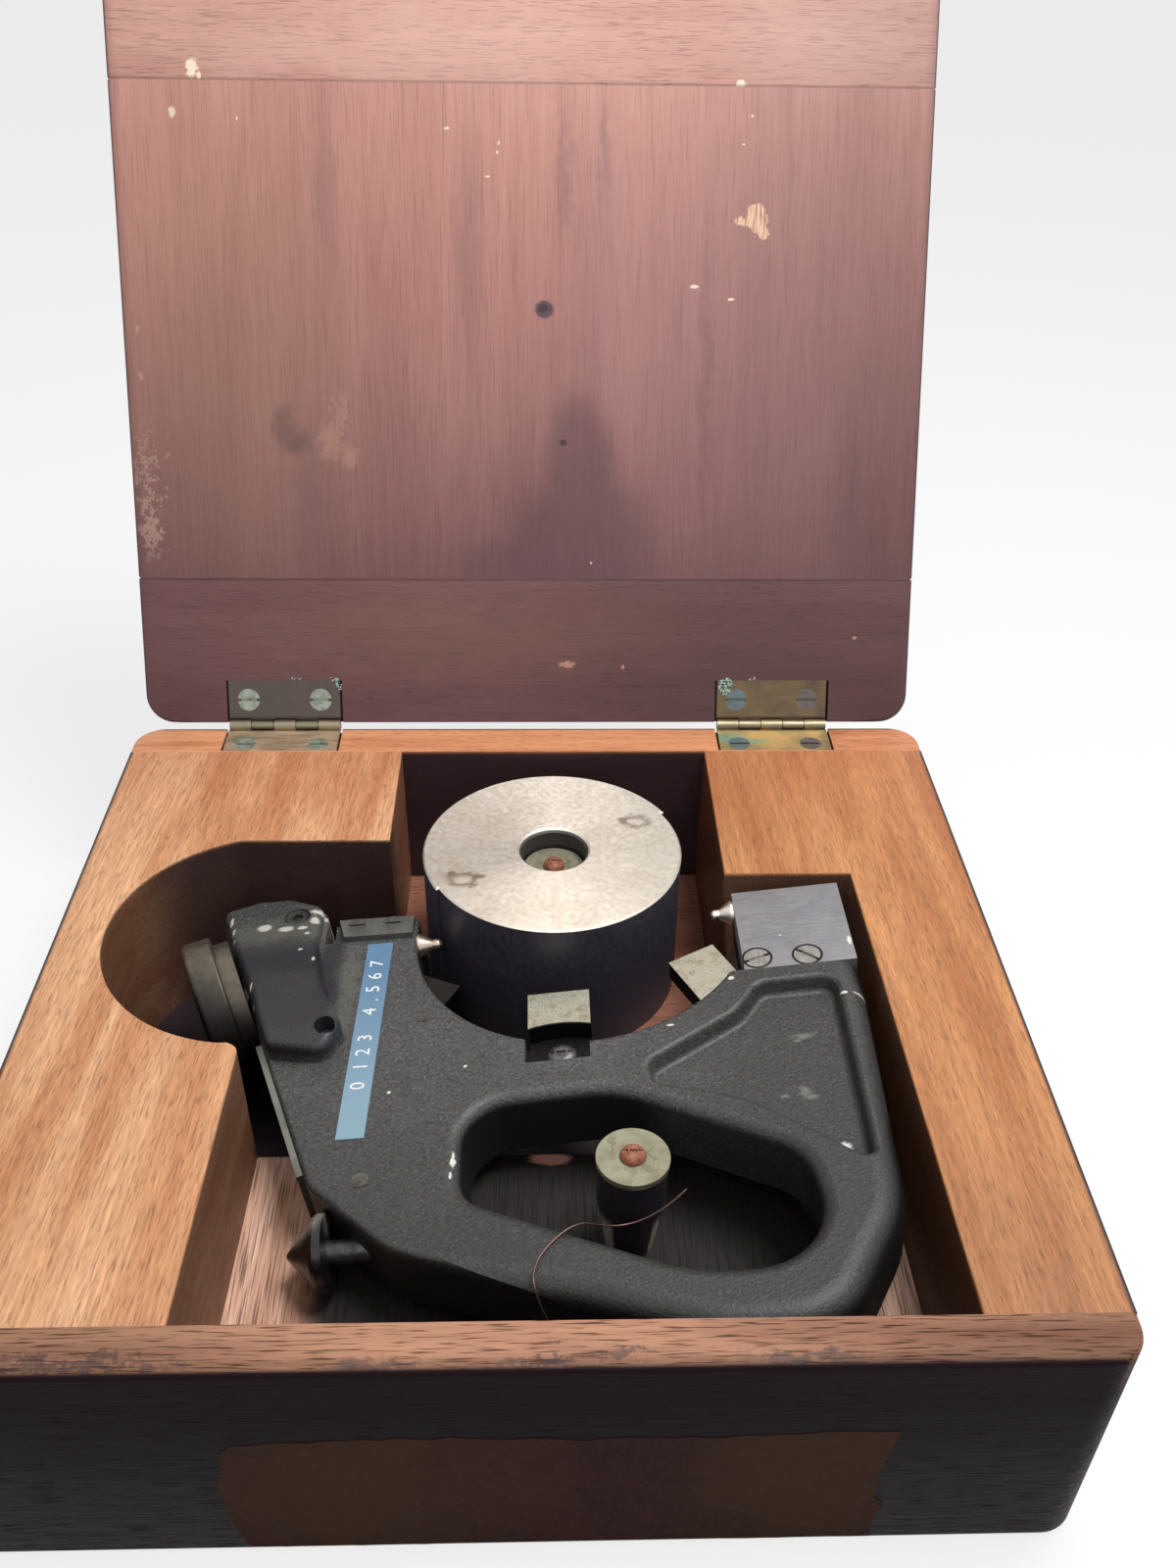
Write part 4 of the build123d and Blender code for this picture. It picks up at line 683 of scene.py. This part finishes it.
screw_brass = surface(
    "verdigris_screw_brass", "9aa394", "6d6f66", 0.5, scratch=(900, 900, 900), cloud=420.0, metallic=0.6,
)
right_dark = spots(screw_brass, ((92.6, 112, 8, 20),), ragged=0.0, soft=0.1)
tint(screw_brass, right_dark, "5e5150", 0.85)
right_green = spots(screw_brass, ((69, 117, 8, 20),), ragged=0.0, soft=0.1)
tint(screw_brass, right_green, "55666e", 0.8)
for node in ("hinge_case_screws", "hinge_lid_screws"):
    dress(node, screw_brass)

# Verdigris: blue-green crumbs of crust on the corners of the lid's leaves, kept
# under 0.15 mm thick, so that the lid can shut over them.
verdigris = surface(
    "verdigris_crust", "6fa9ab", "cfd6c2", 0.85, scratch=(900, 900, 900), cloud=800.0, metallic=0.0,
)
lid_face = Matrix.Translation((0, pin_y / 1000, pin_z / 1000)) @ Matrix.Rotation(lid_lean, 4, "X")


def to_metres(shape):
    # A shape drawn in mm
    bmesh.ops.scale(shape, verts=shape.verts, vec=(0.001, 0.001, 0.001))


def crust(name, lumps, seed):
    # Each lump is a heap of four small grains, thrown about its middle
    draw = random.Random(seed)
    shape = bmesh.new()
    for aside, up, reach in lumps:
        for _ in range(4):
            size = reach * draw.uniform(0.25, 0.55)
            grain = Matrix.Diagonal((size, size * draw.uniform(0.6, 1), size * 0.2, 1))
            made = bmesh.ops.create_icosphere(shape, subdivisions=2, radius=1.0, matrix=grain)["verts"]
            for vert in made:
                vert.co *= 1 + draw.uniform(-0.2, 0.2)
            throw = (draw.uniform(-0.8, 0.8) * reach, draw.uniform(-0.8, 0.8) * reach)
            bmesh.ops.translate(shape, verts=made, vec=(aside + throw[0], up + throw[1], 0))
    to_metres(shape)
    bmesh.ops.transform(shape, matrix=lid_face, verts=shape.verts)
    piece = new_piece(name, shape, verdigris["material"])
    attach(piece, "lid")


crust("verdigris_left", (
    (-64.4, 15.4, 0.75), (-63.6, 14.9, 0.8), (-63.0, 14.1, 0.85), (-62.6, 13.1, 0.75), (-62.4, 12.1, 0.6),
    (-65.4, 15.6, 0.55), (-75.5, 15.5, 0.5), (-77.0, 15.4, 0.6), (-78.2, 15.5, 0.45),
), 5)
crust("verdigris_right", (
    (63.8, 14.6, 0.9), (64.9, 14.9, 0.9), (66.2, 15.0, 0.8), (67.3, 14.9, 0.6), (64.0, 13.2, 1.0),
    (65.5, 13.4, 1.1), (66.8, 13.2, 0.9), (63.9, 11.9, 0.9), (65.2, 11.7, 1.0), (66.4, 11.8, 0.8),
    (65.0, 10.6, 0.7), (66.0, 10.3, 0.6), (73.4, 15.4, 0.5), (74.6, 15.5, 0.6),
), 9)


# Setting master: a hardened steel disc, ground on top. Its top carries a
# painted sheen in a fan of pale rays, and its side carries painted shade.
master_x, master_y = 0.00769, 0.05759
master_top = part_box("setting_master")[1][2]
master_steel = surface(
    "ground_master_steel", "ece5d6", "e0d7c5", 0.44,
    scratch=(300, 300, 300), cloud=60.0, metallic=0.6, grain_depth=0.03,
)
tree = master_steel["tree"]
centred = put(
    tree, "VectorMath",
    {0: master_steel["place"], 1: (master_x, master_y, 0)}, operation="SUBTRACT",
)
fan = put(tree, "TexGradient", {"Vector": centred.outputs[0]}, gradient_type="RADIAL")
turns = put(tree, "VectorMath", {0: (1, 0, 0), "Scale": fan.outputs["Fac"]}, operation="SCALE")
rays = put(tree, "TexNoise", {
    "Vector": turns.outputs[0], "Scale": 42.0, "Detail": 4.0, "Roughness": 0.6,
}).outputs["Fac"]
# Painted sheen: levels round the disc, as shares of a full level that ray_level brings back
full_level = 1.25
sheen = put(tree, "ValToRGB", {"Fac": fan.outputs["Fac"]})
set_stops(sheen, [(share, (*[level / full_level] * 3, 1)) for share, level in (
    (0.0, 0.7), (0.06, 0.68), (0.14, 0.94), (0.25, 1.2), (0.36, 1.0), (0.5, 0.9), (0.6, 0.98),
    (0.75, 1.2), (0.87, 0.92), (1.0, 0.7),
)])
ray_level = put(tree, "MapRange", {
    "Value": rays, "From Min": 0.3, "From Max": 0.7, "To Min": 1.16, "To Max": 1.34,
}).outputs[0]
fanned = put(tree, "VectorMath", {0: master_steel["colour"], 1: sheen.outputs[0]}, operation="MULTIPLY")
rayed = put(tree, "VectorMath", {0: fanned.outputs[0], "Scale": ray_level}, operation="SCALE")
recolour(master_steel, rayed.outputs[0])
# Two brown rings, each an oval stain without its heart
stain_rims = spots(master_steel, (
    (32.8, 71.6, 4.6, 3.4), (29.4, 72.6, 2.2, 1.2), (-19.1, 43.1, 5.0, 3.6), (-15.0, 44.2, 2.4, 1.4),
), ragged=1.3, grain=320, soft=0.3)
stain_hearts = spots(
    master_steel, ((33.0, 71.4, 2.6, 1.8), (-19.3, 42.9, 3.0, 2.0)),
    ragged=1.3, grain=320, soft=0.4,
)
rings = put(tree, "Math", {0: stain_rims, 1: stain_hearts}, operation="SUBTRACT", use_clamp=True)
tint(master_steel, rings.outputs[0], "7d6a55", 0.85)
flat = put(tree, "VectorMath", {0: centred.outputs[0], 1: (1, 1, 0)}, operation="MULTIPLY")
from_middle = put(tree, "VectorMath", {0: flat.outputs[0]}, operation="LENGTH")
tint(master_steel, beyond(master_steel, "X", 0.02, 0.05), "c9c6b8", 0.6)
# Painted shade on the disc's side and inside its bore, below the top face
shaded_side = beyond(master_steel, "Z", master_top - 0.0004, master_top - 0.0008)
tint(master_steel, shaded_side, "54505f", 0.98)
bore = put(tree, "MapRange", {
    "Value": from_middle.outputs["Value"], "From Min": 0.012, "From Max": 0.011,
}).outputs[0]
tint(master_steel, overlap(master_steel, bore, shaded_side), "4a4745", 0.9)
dress("setting_master", master_steel)


# Posts: turned hardwood, nearly black, each with a brass washer held
# down by a round-head steel screw that has rusted.
post_wood = oiled_board("turned_post_wood", (0, quarter, 0), "1e1a20", "29232a", "352c30", gloss=0.5)
# Two pale patches low on the handle post
pale_foot_patches = spots(
    post_wood, ((20.0, -60.5, 1.7, 3.4), (31.4, -60.8, 1.3, 2.6)), ragged=0.5, grain=300, soft=0.3,
)
low_down = beyond(post_wood, "Z", 0.046, 0.04)
tint(post_wood, overlap(post_wood, pale_foot_patches, low_down), "cfc4b8", 0.9)
for node in ("master_post", "handle_post"):
    dress(node, post_wood)
washer_brass = surface(
    "tarnished_washer_brass", "92917a", "7d7662", 0.5, scratch=(500, 500, 500), cloud=240.0, metallic=0.5,
)
washer_marks = spots(
    washer_brass,
    ((27, -61, 6, 0.5), (21, -54, 0.5, 3), (30, -57, 0.4, 4), (12, 60, 0.5, 3)),
    ragged=2.0, grain=260, soft=0.6,
)
tint(washer_brass, washer_marks, "6c6a52", 0.7)
dress("post_washers", washer_brass)
rusty_steel = surface("rusty_screw_steel", "a06a52", "74432f", 0.62, cloud=600.0, metallic=0.4)
dress("post_screws", rusty_steel)

# Gauge frame and cowl: grey iron castings under charcoal wrinkle paint, with
# fine pale specks, bright iron where corners were rubbed through, and painted glints and shade.
def follow_gauge(finish):
    # From here on, marks on the finish are placed on the gauge's own tilted face
    finish["place"] = put(
        finish["tree"], "Mapping",
        {"Vector": finish["place"], "Location": gauge_origin, "Rotation": gauge_turn}, vector_type="TEXTURE",
    ).outputs[0]


paint = {"material": bpy.data.materials.new("charcoal_wrinkle_paint")}
paint["material"].use_nodes = True
tree = paint["tree"] = paint["material"].node_tree
paint["shader"] = tree.nodes["Principled BSDF"]
paint["place"] = put(tree, "TexCoord").outputs["Object"]
# Slow clouds, wrinkles 0.8 mm wide, and specks of bare iron 0.5 mm wide
cloud, wrinkle, speck = [
    put(tree, "TexNoise", {
        "Vector": paint["place"], "Scale": scale, "Detail": detail, "Roughness": roughness,
    }).outputs["Fac"]
    for scale, detail, roughness in ((55.0, 4.0, 0.5), (1150.0, 3.0, 0.6), (1700.0, 1.0, 0.5))
]
bare = put(tree, "MapRange", {"Value": speck, "From Min": 0.63, "From Max": 0.84}).outputs[0]
shade = put(tree, "Mix", {0: cloud, 6: linear("3a3a3a"), 7: linear("494948")}, data_type="RGBA")
level = put(tree, "MapRange", {
    "Value": wrinkle, "From Min": 0.3, "From Max": 0.7, "To Min": 0.4, "To Max": 1.8,
}).outputs[0]
coat = put(tree, "VectorMath", {0: shade.outputs[2], "Scale": level}, operation="SCALE").outputs[0]
speckled = put(tree, "Mix", {0: bare, 6: coat, 7: linear("8e8e8b")}, data_type="RGBA")
recolour(paint, speckled.outputs[2])
bump = put(tree, "Bump", {"Height": wrinkle, "Strength": 0.45, "Distance": 0.0004})
tree.links.new(bump.outputs[0], paint["shader"].inputs["Normal"])
# The cowl is darkened, less towards its back end; the sides below the face carry painted shade
follow_gauge(paint)
on_cowl = beyond(paint, "Z", 0.0006, 0.003)
back_end = beyond(paint, "Y", 0.002, 0.016)
fading_to_back = put(tree, "Math", {0: back_end, 1: -0.85, 2: 1.0}, operation="MULTIPLY_ADD").outputs[0]
tint(paint, overlap(paint, fading_to_back, on_cowl), "15141d", 0.86)
shaded_depth = beyond(paint, "Z", -0.0012, -0.004)
panel_floor = spots(paint, ((50, -47, 33, 36),), ragged=0.0, soft=0.1)
shaded_sides = put(tree, "Math", {0: shaded_depth, 1: panel_floor}, operation="SUBTRACT", use_clamp=True)
darken(paint, shaded_sides.outputs[0], 0.1)
# Painted shade: the frame darkens towards its front edge
darken(paint, beyond(paint, "Y", -0.03, -0.11), 0.4)
darken(paint, beyond(paint, "X", 0.005, 0.055), 0.54)
# Painted shadow on the frame beside the cowl
shadow_by_cowl = spots(paint, ((-69.5, 9, 3.4, 15), (-68.5, -8, 2.4, 10)), ragged=0.3, soft=0.5)
tint(paint, shadow_by_cowl, "15141a", 0.8)
# Painted yellowish sheen on the cowl and the frame beside it
painted_sheen = spots(
    paint, ((-88, 17, 12, 5), (-76, 19, 6, 7), (-63.5, -4, 2.2, 14), (-64, -20, 2, 5)),
    ragged=0.8, grain=200, soft=0.7,
)
tint(paint, painted_sheen, "6b6a5f", 0.4)
# Bright iron on the worn corners mixed with painted glints on rims and edges, and pale scuffs on the sunk
# panel
rubbed_and_glints = spots(paint, (
    (-90.0, 19.3, 1.9, 1.6), (-83.4, 17.6, 2.0, 1.2), (-78.4, 17.4, 1.4, 0.8), (-73.6, 25.4, 3.6, 1.0),
    (-70.6, 21.8, 1.2, 4.2), (-75.4, 21.0, 1.2, 1.6), (-76.6, 14.1, 0.7, 0.6), (-77.2, 5.7, 0.6, 0.5),
    (-72.7, 0.2, 0.4, 1.0), (-100.7, 24.2, 0.5, 1.8), (-99.2, 19.0, 0.4, 1.4), (-98.4, 14.0, 0.3, 1.2),
    (-88.8, -10.2, 0.3, 1.6), (-87.2, -18.0, 0.3, 1.2), (-48.7, -48.3, 0.5, 0.45), (-29.1, -41.7, 0.5, 0.45),
    (-31.1, -72.4, 0.45, 2.4), (-31.6, -77.5, 0.3, 1.0), (-50.8, -94.2, 0.4, 1.2), (63.4, -77.2, 1.7, 2.0),
    (76.5, -27.6, 2.0, 0.4), (71.8, -28.2, 1.0, 0.4), (25.1, -34.1, 0.9, 0.4), (42.9, -18.4, 0.8, 0.6),
), ragged=0.9, grain=700, soft=0.35)
tint(paint, rubbed_and_glints, "f0ede2", 0.95)
scuffed = spots(paint, (
    (56.7, -57.8, 1.3, 2.0), (58.2, -59.6, 1.6, 0.8), (51.8, -58.5, 1.0, 0.5), (59.5, -38.0, 2.6, 0.9),
    (57.6, -39.6, 1.0, 0.5),
), ragged=2.0, grain=520, soft=0.6)
tint(paint, scuffed, "a4a295", 0.3)
for socket, painted, bared in (("Metallic", 0.0, 0.35), ("Roughness", 0.5, 0.3)):
    level = put(tree, "MapRange", {"Value": rubbed_and_glints, "To Min": painted, "To Max": bared})
    tree.links.new(level.outputs[0], paint["shader"].inputs[socket])
for node in ("gauge_frame", "cowl"):
    dress(node, paint)

# Ground and turned steel on the gauge: the anvil block and guide plate with
# their slotted screws, the tips, the pads and the hidden mechanism.
block_steel = surface(
    "surface_ground_block_steel", "929294", "88888c", 0.52, scratch=(60, 900, 900), cloud=90.0,
)
follow_gauge(block_steel)
# Painted glints on the block's right edge
corner_glints = spots(block_steel, ((76.8, -8.0, 0.6, 1.6), (58.4, -3.0, 0.35, 0.25)), ragged=0.8, soft=0.3)
tint(block_steel, corner_glints, "ece9e2", 0.8)
# Painted shade in the gaps round the two block screws
shaded_screw_seats = spots(
    block_steel, ((50.9, -11.4, 4.25, 4.25), (64.6, -12.0, 4.25, 4.25)), ragged=0.0, soft=0.04,
)
tint(block_steel, shaded_screw_seats, "17161a", 0.95)
plate_steel = surface("dull_guide_plate_steel", "74746f", "646460", 0.55, cloud=200.0)
flank_steel = surface("flank_plate_steel", "8b8b83", "66665f", 0.45, cloud=90.0)
# The pads are ground pale on top; below their tops and over the whole left pad they carry painted shade
pad_steel = surface(
    "ground_pad_steel", "bdbaa8", "a2977f", 0.46, scratch=(900, 900, 60), cloud=330.0, share=(0.5, 0.72),
)
follow_gauge(pad_steel)
# Painted shade below the pads' tops and over the left pad
tint(pad_steel, beyond(pad_steel, "Z", -0.0067, -0.0072), "1a181c", 0.97)
tint(pad_steel, beyond(pad_steel, "X", -0.02, -0.024), "1f1d20", 0.95)
tip_steel = surface("lapped_tip_steel", "efe6dc", "d6c7ba", 0.34, cloud=400.0)
tint(tip_steel, beyond(tip_steel, "X", 0.0, -0.01), "b9a893", 0.75)
turned_steel = surface("turned_shaft_steel", "b4afa2", "8f8873", 0.36, scratch=(40, 900, 900))
block_screw_steel = surface("block_screw_steel", "a3a29c", "8d8c86", 0.45, cloud=300.0)
plate_screw_steel = surface("plate_screw_steel", "6f6f6a", "5c5c58", 0.5, cloud=300.0)
black_steel_and_shade = surface("oxide_black_and_shaded_steel", "5a5958", "424142", 0.5, cloud=300.0)
pad_screw_steel = surface("pad_screw_steel", "6c6b6a", "565553", 0.45, cloud=300.0)
dowel_steel = surface("dull_dowel_steel", "6a6760", "4a4844", 0.5, cloud=500.0)
for finish, nodes in (
    (block_steel, ("anvil_block",)),
    (plate_steel, ("guide_plate",)),
    (flank_steel, ("side_plate",)),
    (pad_steel, ("rest_pad_centre", "rest_pad_right", "rest_pad_left")),
    (tip_steel, ("fixed_tip", "moving_tip")),
    (turned_steel, ("spindle", "plunger", "lever_pin", "transfer_lever")),
    # The retract shaft is black as painted shade under the frame
    (black_steel_and_shade, ("retract_shaft",)),
    (block_screw_steel, ("anvil_block_screws",)),
    (plate_screw_steel, ("guide_plate_screws",)),
    (black_steel_and_shade, ("cowl_screws",)),
    (pad_screw_steel, ("rest_pad_screw",)),
    (dowel_steel, ("dowel_pins",)),
):
    for node in nodes:
        dress(node, finish)

# Embossing tape: blue vinyl with stretched white figures, stuck on the frame.
# It is bluer towards the back and has paled towards its front end.
tape_vinyl = surface(
    "blue_embossing_tape", "5f84a6", "6a8aa8", 0.34, scratch=(300, 300, 300), cloud=90.0, metallic=0.0,
)
tint(tape_vinyl, beyond(tape_vinyl, "Y", 0.025, -0.042), "8caab8", 0.9)
dress("blue_tape", tape_vinyl)
figure_white = surface("stretched_white_vinyl", "f4f4ee", "e2e6e6", 0.5, cloud=700.0, metallic=0.0)


def figures(name, text, size, thickness, place, finish, body, spacing=1.0):
    # Generic figures: set flat, made a mesh, then put in place
    line = bpy.data.curves.new(name, "FONT")
    line.body = text
    line.size = size
    line.extrude = thickness / 2
    line.align_x = "CENTER"
    line.align_y = "CENTER"
    line.resolution_u = 3
    line.space_character = spacing
    setting = bpy.data.objects.new(name + "_setting", line)
    mesh = bpy.data.meshes.new_from_object(setting)
    bpy.data.objects.remove(setting)
    mesh.name = name
    mesh.transform(place)
    mesh.materials.clear()
    mesh.materials.append(finish["material"])
    piece = bpy.data.objects.new(name, mesh)
    bpy.context.collection.objects.link(piece)
    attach(piece, body)


tape_line = Matrix.Translation((-0.0565, -0.026, 0.00033)) @ Matrix.Rotation(math.radians(88.5), 4, "Z")
for number, (text, along_tape) in enumerate((("0", -19.2), ("123", -7.0), ("4.567", 18.4))):
    figures(
        f"tape_figures_{number + 1}", text, 0.0056, 0.0001,
        gauge_face @ tape_line @ Matrix.Translation((along_tape / 1000, 0, 0)),
        figure_white, "gauge", 1.9,
    )


# Dial indicator: satin nickel case and bezel, dulled to brown, with a clear
# crystal over a white printed dial. Its back is bolted to the slanted flank.
bezel_metal = surface("dulled_nickel", "726b5e", "565248", 0.45, scratch=(900, 900, 60), cloud=120.0)
tint(bezel_metal, beyond(bezel_metal, "Y", 0.0135, -0.0045), "1c191d", 0.93)
print_mark = spots(bezel_metal, ((-92.8, 24.5, 0.9, 0.8),), ragged=0.5, soft=0.3)
tint(bezel_metal, print_mark, "4a3f38", 0.7)
for node in ("bezel", "indicator_case"):
    dress(node, bezel_metal)
dial_enamel = surface(
    "white_dial_enamel", "ecebe2", "dfddd0", 0.45, scratch=(200, 200, 200), cloud=60.0, metallic=0.0,
)
dress("dial_plate", dial_enamel)
dial_ink = surface(
    "black_dial_ink", "1b1b1d", "262628", 0.5, scratch=(300, 300, 300), cloud=500.0, metallic=0.0,
)
hand_lacquer = surface(
    "black_hand_lacquer", "141416", "1e1e20", 0.35, scratch=(300, 300, 300), cloud=500.0, metallic=0.0,
)
dress("hand", hand_lacquer)

# Plain divisions and plain numbers, printed on the dial plate under the crystal
dial_centre = Vector((-0.0796574, 0.0152865, 0.0434154))
dial_out = Vector((-0.9293666, -0.3509697, -0.1144468))
dial_up = (gauge_face.to_3x3() @ Vector((0, 0, 1))).normalized()
dial_right = dial_up.cross(dial_out).normalized()
plate_rise = 0.00893
dial_face = Matrix.Translation(dial_centre + dial_out * plate_rise) @ Matrix(
    [[dial_right[i], dial_up[i], dial_out[i], 0] for i in range(3)] + [[0, 0, 0, 1]]
)
tick_ring, figure_ring = 17.6, 0.0132
marks = bmesh.new()
for step in range(100):
    length, width = (2.6, 0.36) if step % 10 == 0 else (2.1, 0.24) if step % 5 == 0 else (1.5, 0.16)
    tick = bmesh.ops.create_grid(marks, x_segments=1, y_segments=1, size=0.5)["verts"]
    bmesh.ops.scale(marks, verts=tick, vec=(width, length, 1))
    bmesh.ops.translate(marks, verts=tick, vec=(0, tick_ring - length / 2, 0))
    turn = Matrix.Rotation(-math.tau * step / 100, 3, "Z")
    bmesh.ops.rotate(marks, verts=tick, cent=(0, 0, 0), matrix=turn)
bmesh.ops.solidify(marks, geom=marks.faces, thickness=0.05)
bmesh.ops.recalc_face_normals(marks, faces=marks.faces)
to_metres(marks)
bmesh.ops.transform(marks, matrix=dial_face, verts=marks.verts)
ticks = new_piece("dial_ticks", marks, dial_ink["material"])
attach(ticks, "bezel")
for number in range(10):
    turn = math.tau * number / 10
    figures(
        f"dial_figure_{number * 10}", str(number * 10), 0.0031, 0.00005,
        dial_face @ Matrix.Translation((figure_ring * math.sin(turn), figure_ring * math.cos(turn), 0)),
        dial_ink, "bezel",
    )

# Crystal: clear plastic over the dial, so the light passes with one soft
# reflection, and a faint haze from handling.
crystal_glass = bpy.data.materials.new("clear_crystal")
crystal_glass.use_nodes = True
tree = crystal_glass.node_tree
shader = tree.nodes["Principled BSDF"]
place = put(tree, "TexCoord").outputs["Object"]
smears = put(tree, "TexNoise", {"Vector": place, "Scale": 220.0, "Detail": 4.0}).outputs["Fac"]
haze = put(tree, "MapRange", {
    "Value": smears, "From Min": 0.35, "From Max": 0.75, "To Min": 0.02, "To Max": 0.12,
})
tree.links.new(haze.outputs[0], shader.inputs["Roughness"])
shader.inputs["Base Color"].default_value = linear("fbfbf6")
shader.inputs["Transmission Weight"].default_value = 1.0
shader.inputs["IOR"].default_value = 1.49
dress("crystal", {"material": crystal_glass})


# Retracting knob: turned black phenolic, polished by the fingers, with dust on
# it and a painted highlight on its upper flank.
phenolic = surface(
    "polished_black_phenolic", "150f14", "211b20", 0.24, scratch=(300, 300, 300), cloud=140.0, metallic=0.0,
)
tree = phenolic["tree"]
dust = put(tree, "TexNoise", {"Vector": phenolic["place"], "Scale": 900.0, "Detail": 3.0}).outputs["Fac"]
dusted = put(tree, "MapRange", {"Value": dust, "From Min": 0.62, "From Max": 0.8, "To Max": 0.25})
tint(phenolic, dusted.outputs[0], "6c686a")
follow_gauge(phenolic)
# Painted highlight on the knob's upper flank
upper_flank_highlight = spots(
    phenolic, ((-67.0, -86.0, 3.4, 3.2), (-64.5, -83.5, 2.5, 3.0)), ragged=0.7, grain=200, soft=0.6,
)
upper_flank = beyond(phenolic, "Z", -0.010, -0.007)
tint(phenolic, overlap(phenolic, upper_flank_highlight, upper_flank), "8d8880", 0.75)
dress("retract_knob", phenolic)


# Paper label pasted on the front, handled until its edges tore and its face
# went nearly as dark as the varnish. Whatever was written on it is left off.
label_paper = surface(
    "stained_label_paper", "3c2724", "332221", 0.85, scratch=(300, 300, 300), cloud=45.0, metallic=0.0,
)
label_paper["shader"].inputs["Specular IOR Level"].default_value = 0.06
tree = label_paper["tree"]
pulp = put(tree, "TexNoise", {"Vector": label_paper["place"], "Scale": 2600.0, "Detail": 2.0})
fibrous = put(
    tree, "MapRange", {"Value": pulp.outputs["Fac"], "From Min": 0.55, "From Max": 0.8, "To Max": 0.5}
).outputs[0]
tint(label_paper, fibrous, "533b36")
warm = spots(
    label_paper, ((-40, -120.5, 26, 50), (60, -120.5, 20, 50)), ragged=1.0, grain=60, soft=0.8,
)
tint(label_paper, warm, "443022", 0.6)
label_low, label_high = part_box("paper_label")
label_front, label_back = label_low[1], label_high[1]
sheet = bmesh.new()
bmesh.ops.create_grid(sheet, x_segments=60, y_segments=18, size=0.5)
draw = random.Random(21)
width, height = label_high[0] - label_low[0], label_high[2] - label_low[2]
row_steps = 60
tears = [draw.uniform(-1, 1) for _ in range(4 * row_steps)]


def torn(share, row):
    # Ragged push of one edge: small steps on a slower wave
    step = share * 40
    low = int(step)
    near, far = tears[low + row_steps * row], tears[low + 1 + row_steps * row]
    return 0.0006 * (near + (far - near) * (step - low)) + 0.0007 * math.sin(share * 9 + row)


for vert in sheet.verts:
    across, up = vert.co.x + 0.5, vert.co.y + 0.5
    x = label_low[0] + across * width
    z = label_low[2] + up * height
    # How near the vert is to each edge: 1 on the edge, 0 a few millimetres in
    left, right = max(0.0, 1 - across * 12), max(0.0, 1 - (1 - across) * 12)
    top, bottom = max(0.0, 1 - (1 - up) * 9), max(0.0, 1 - up * 9)
    # The right end is torn into a step a third of the way down, and the left end is rounded off
    bite = 0.0022 if 0.35 < up < 0.66 else 0.0
    round_corner = 0.0035 * (abs(up - 0.5) * 2) ** 6
    x += left * (0.0012 + round_corner + torn(up, 0)) - right * (0.0004 + bite + torn(up, 1))
    z += -top * (0.0009 + torn(across, 2)) + bottom * (0.0003 + 0.3 * torn(across, 3))
    vert.co = (x, label_back - 0.00012, z)
bmesh.ops.recalc_face_normals(sheet, faces=sheet.faces)
bmesh.ops.solidify(sheet, geom=sheet.faces, thickness=(label_back - label_front) * 0.5)
bmesh.ops.recalc_face_normals(sheet, faces=sheet.faces)
label = new_piece("torn_label", sheet, label_paper["material"])
label.data.set_sharp_from_angle(angle=math.radians(40))
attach(label, "case")
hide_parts("paper_label")
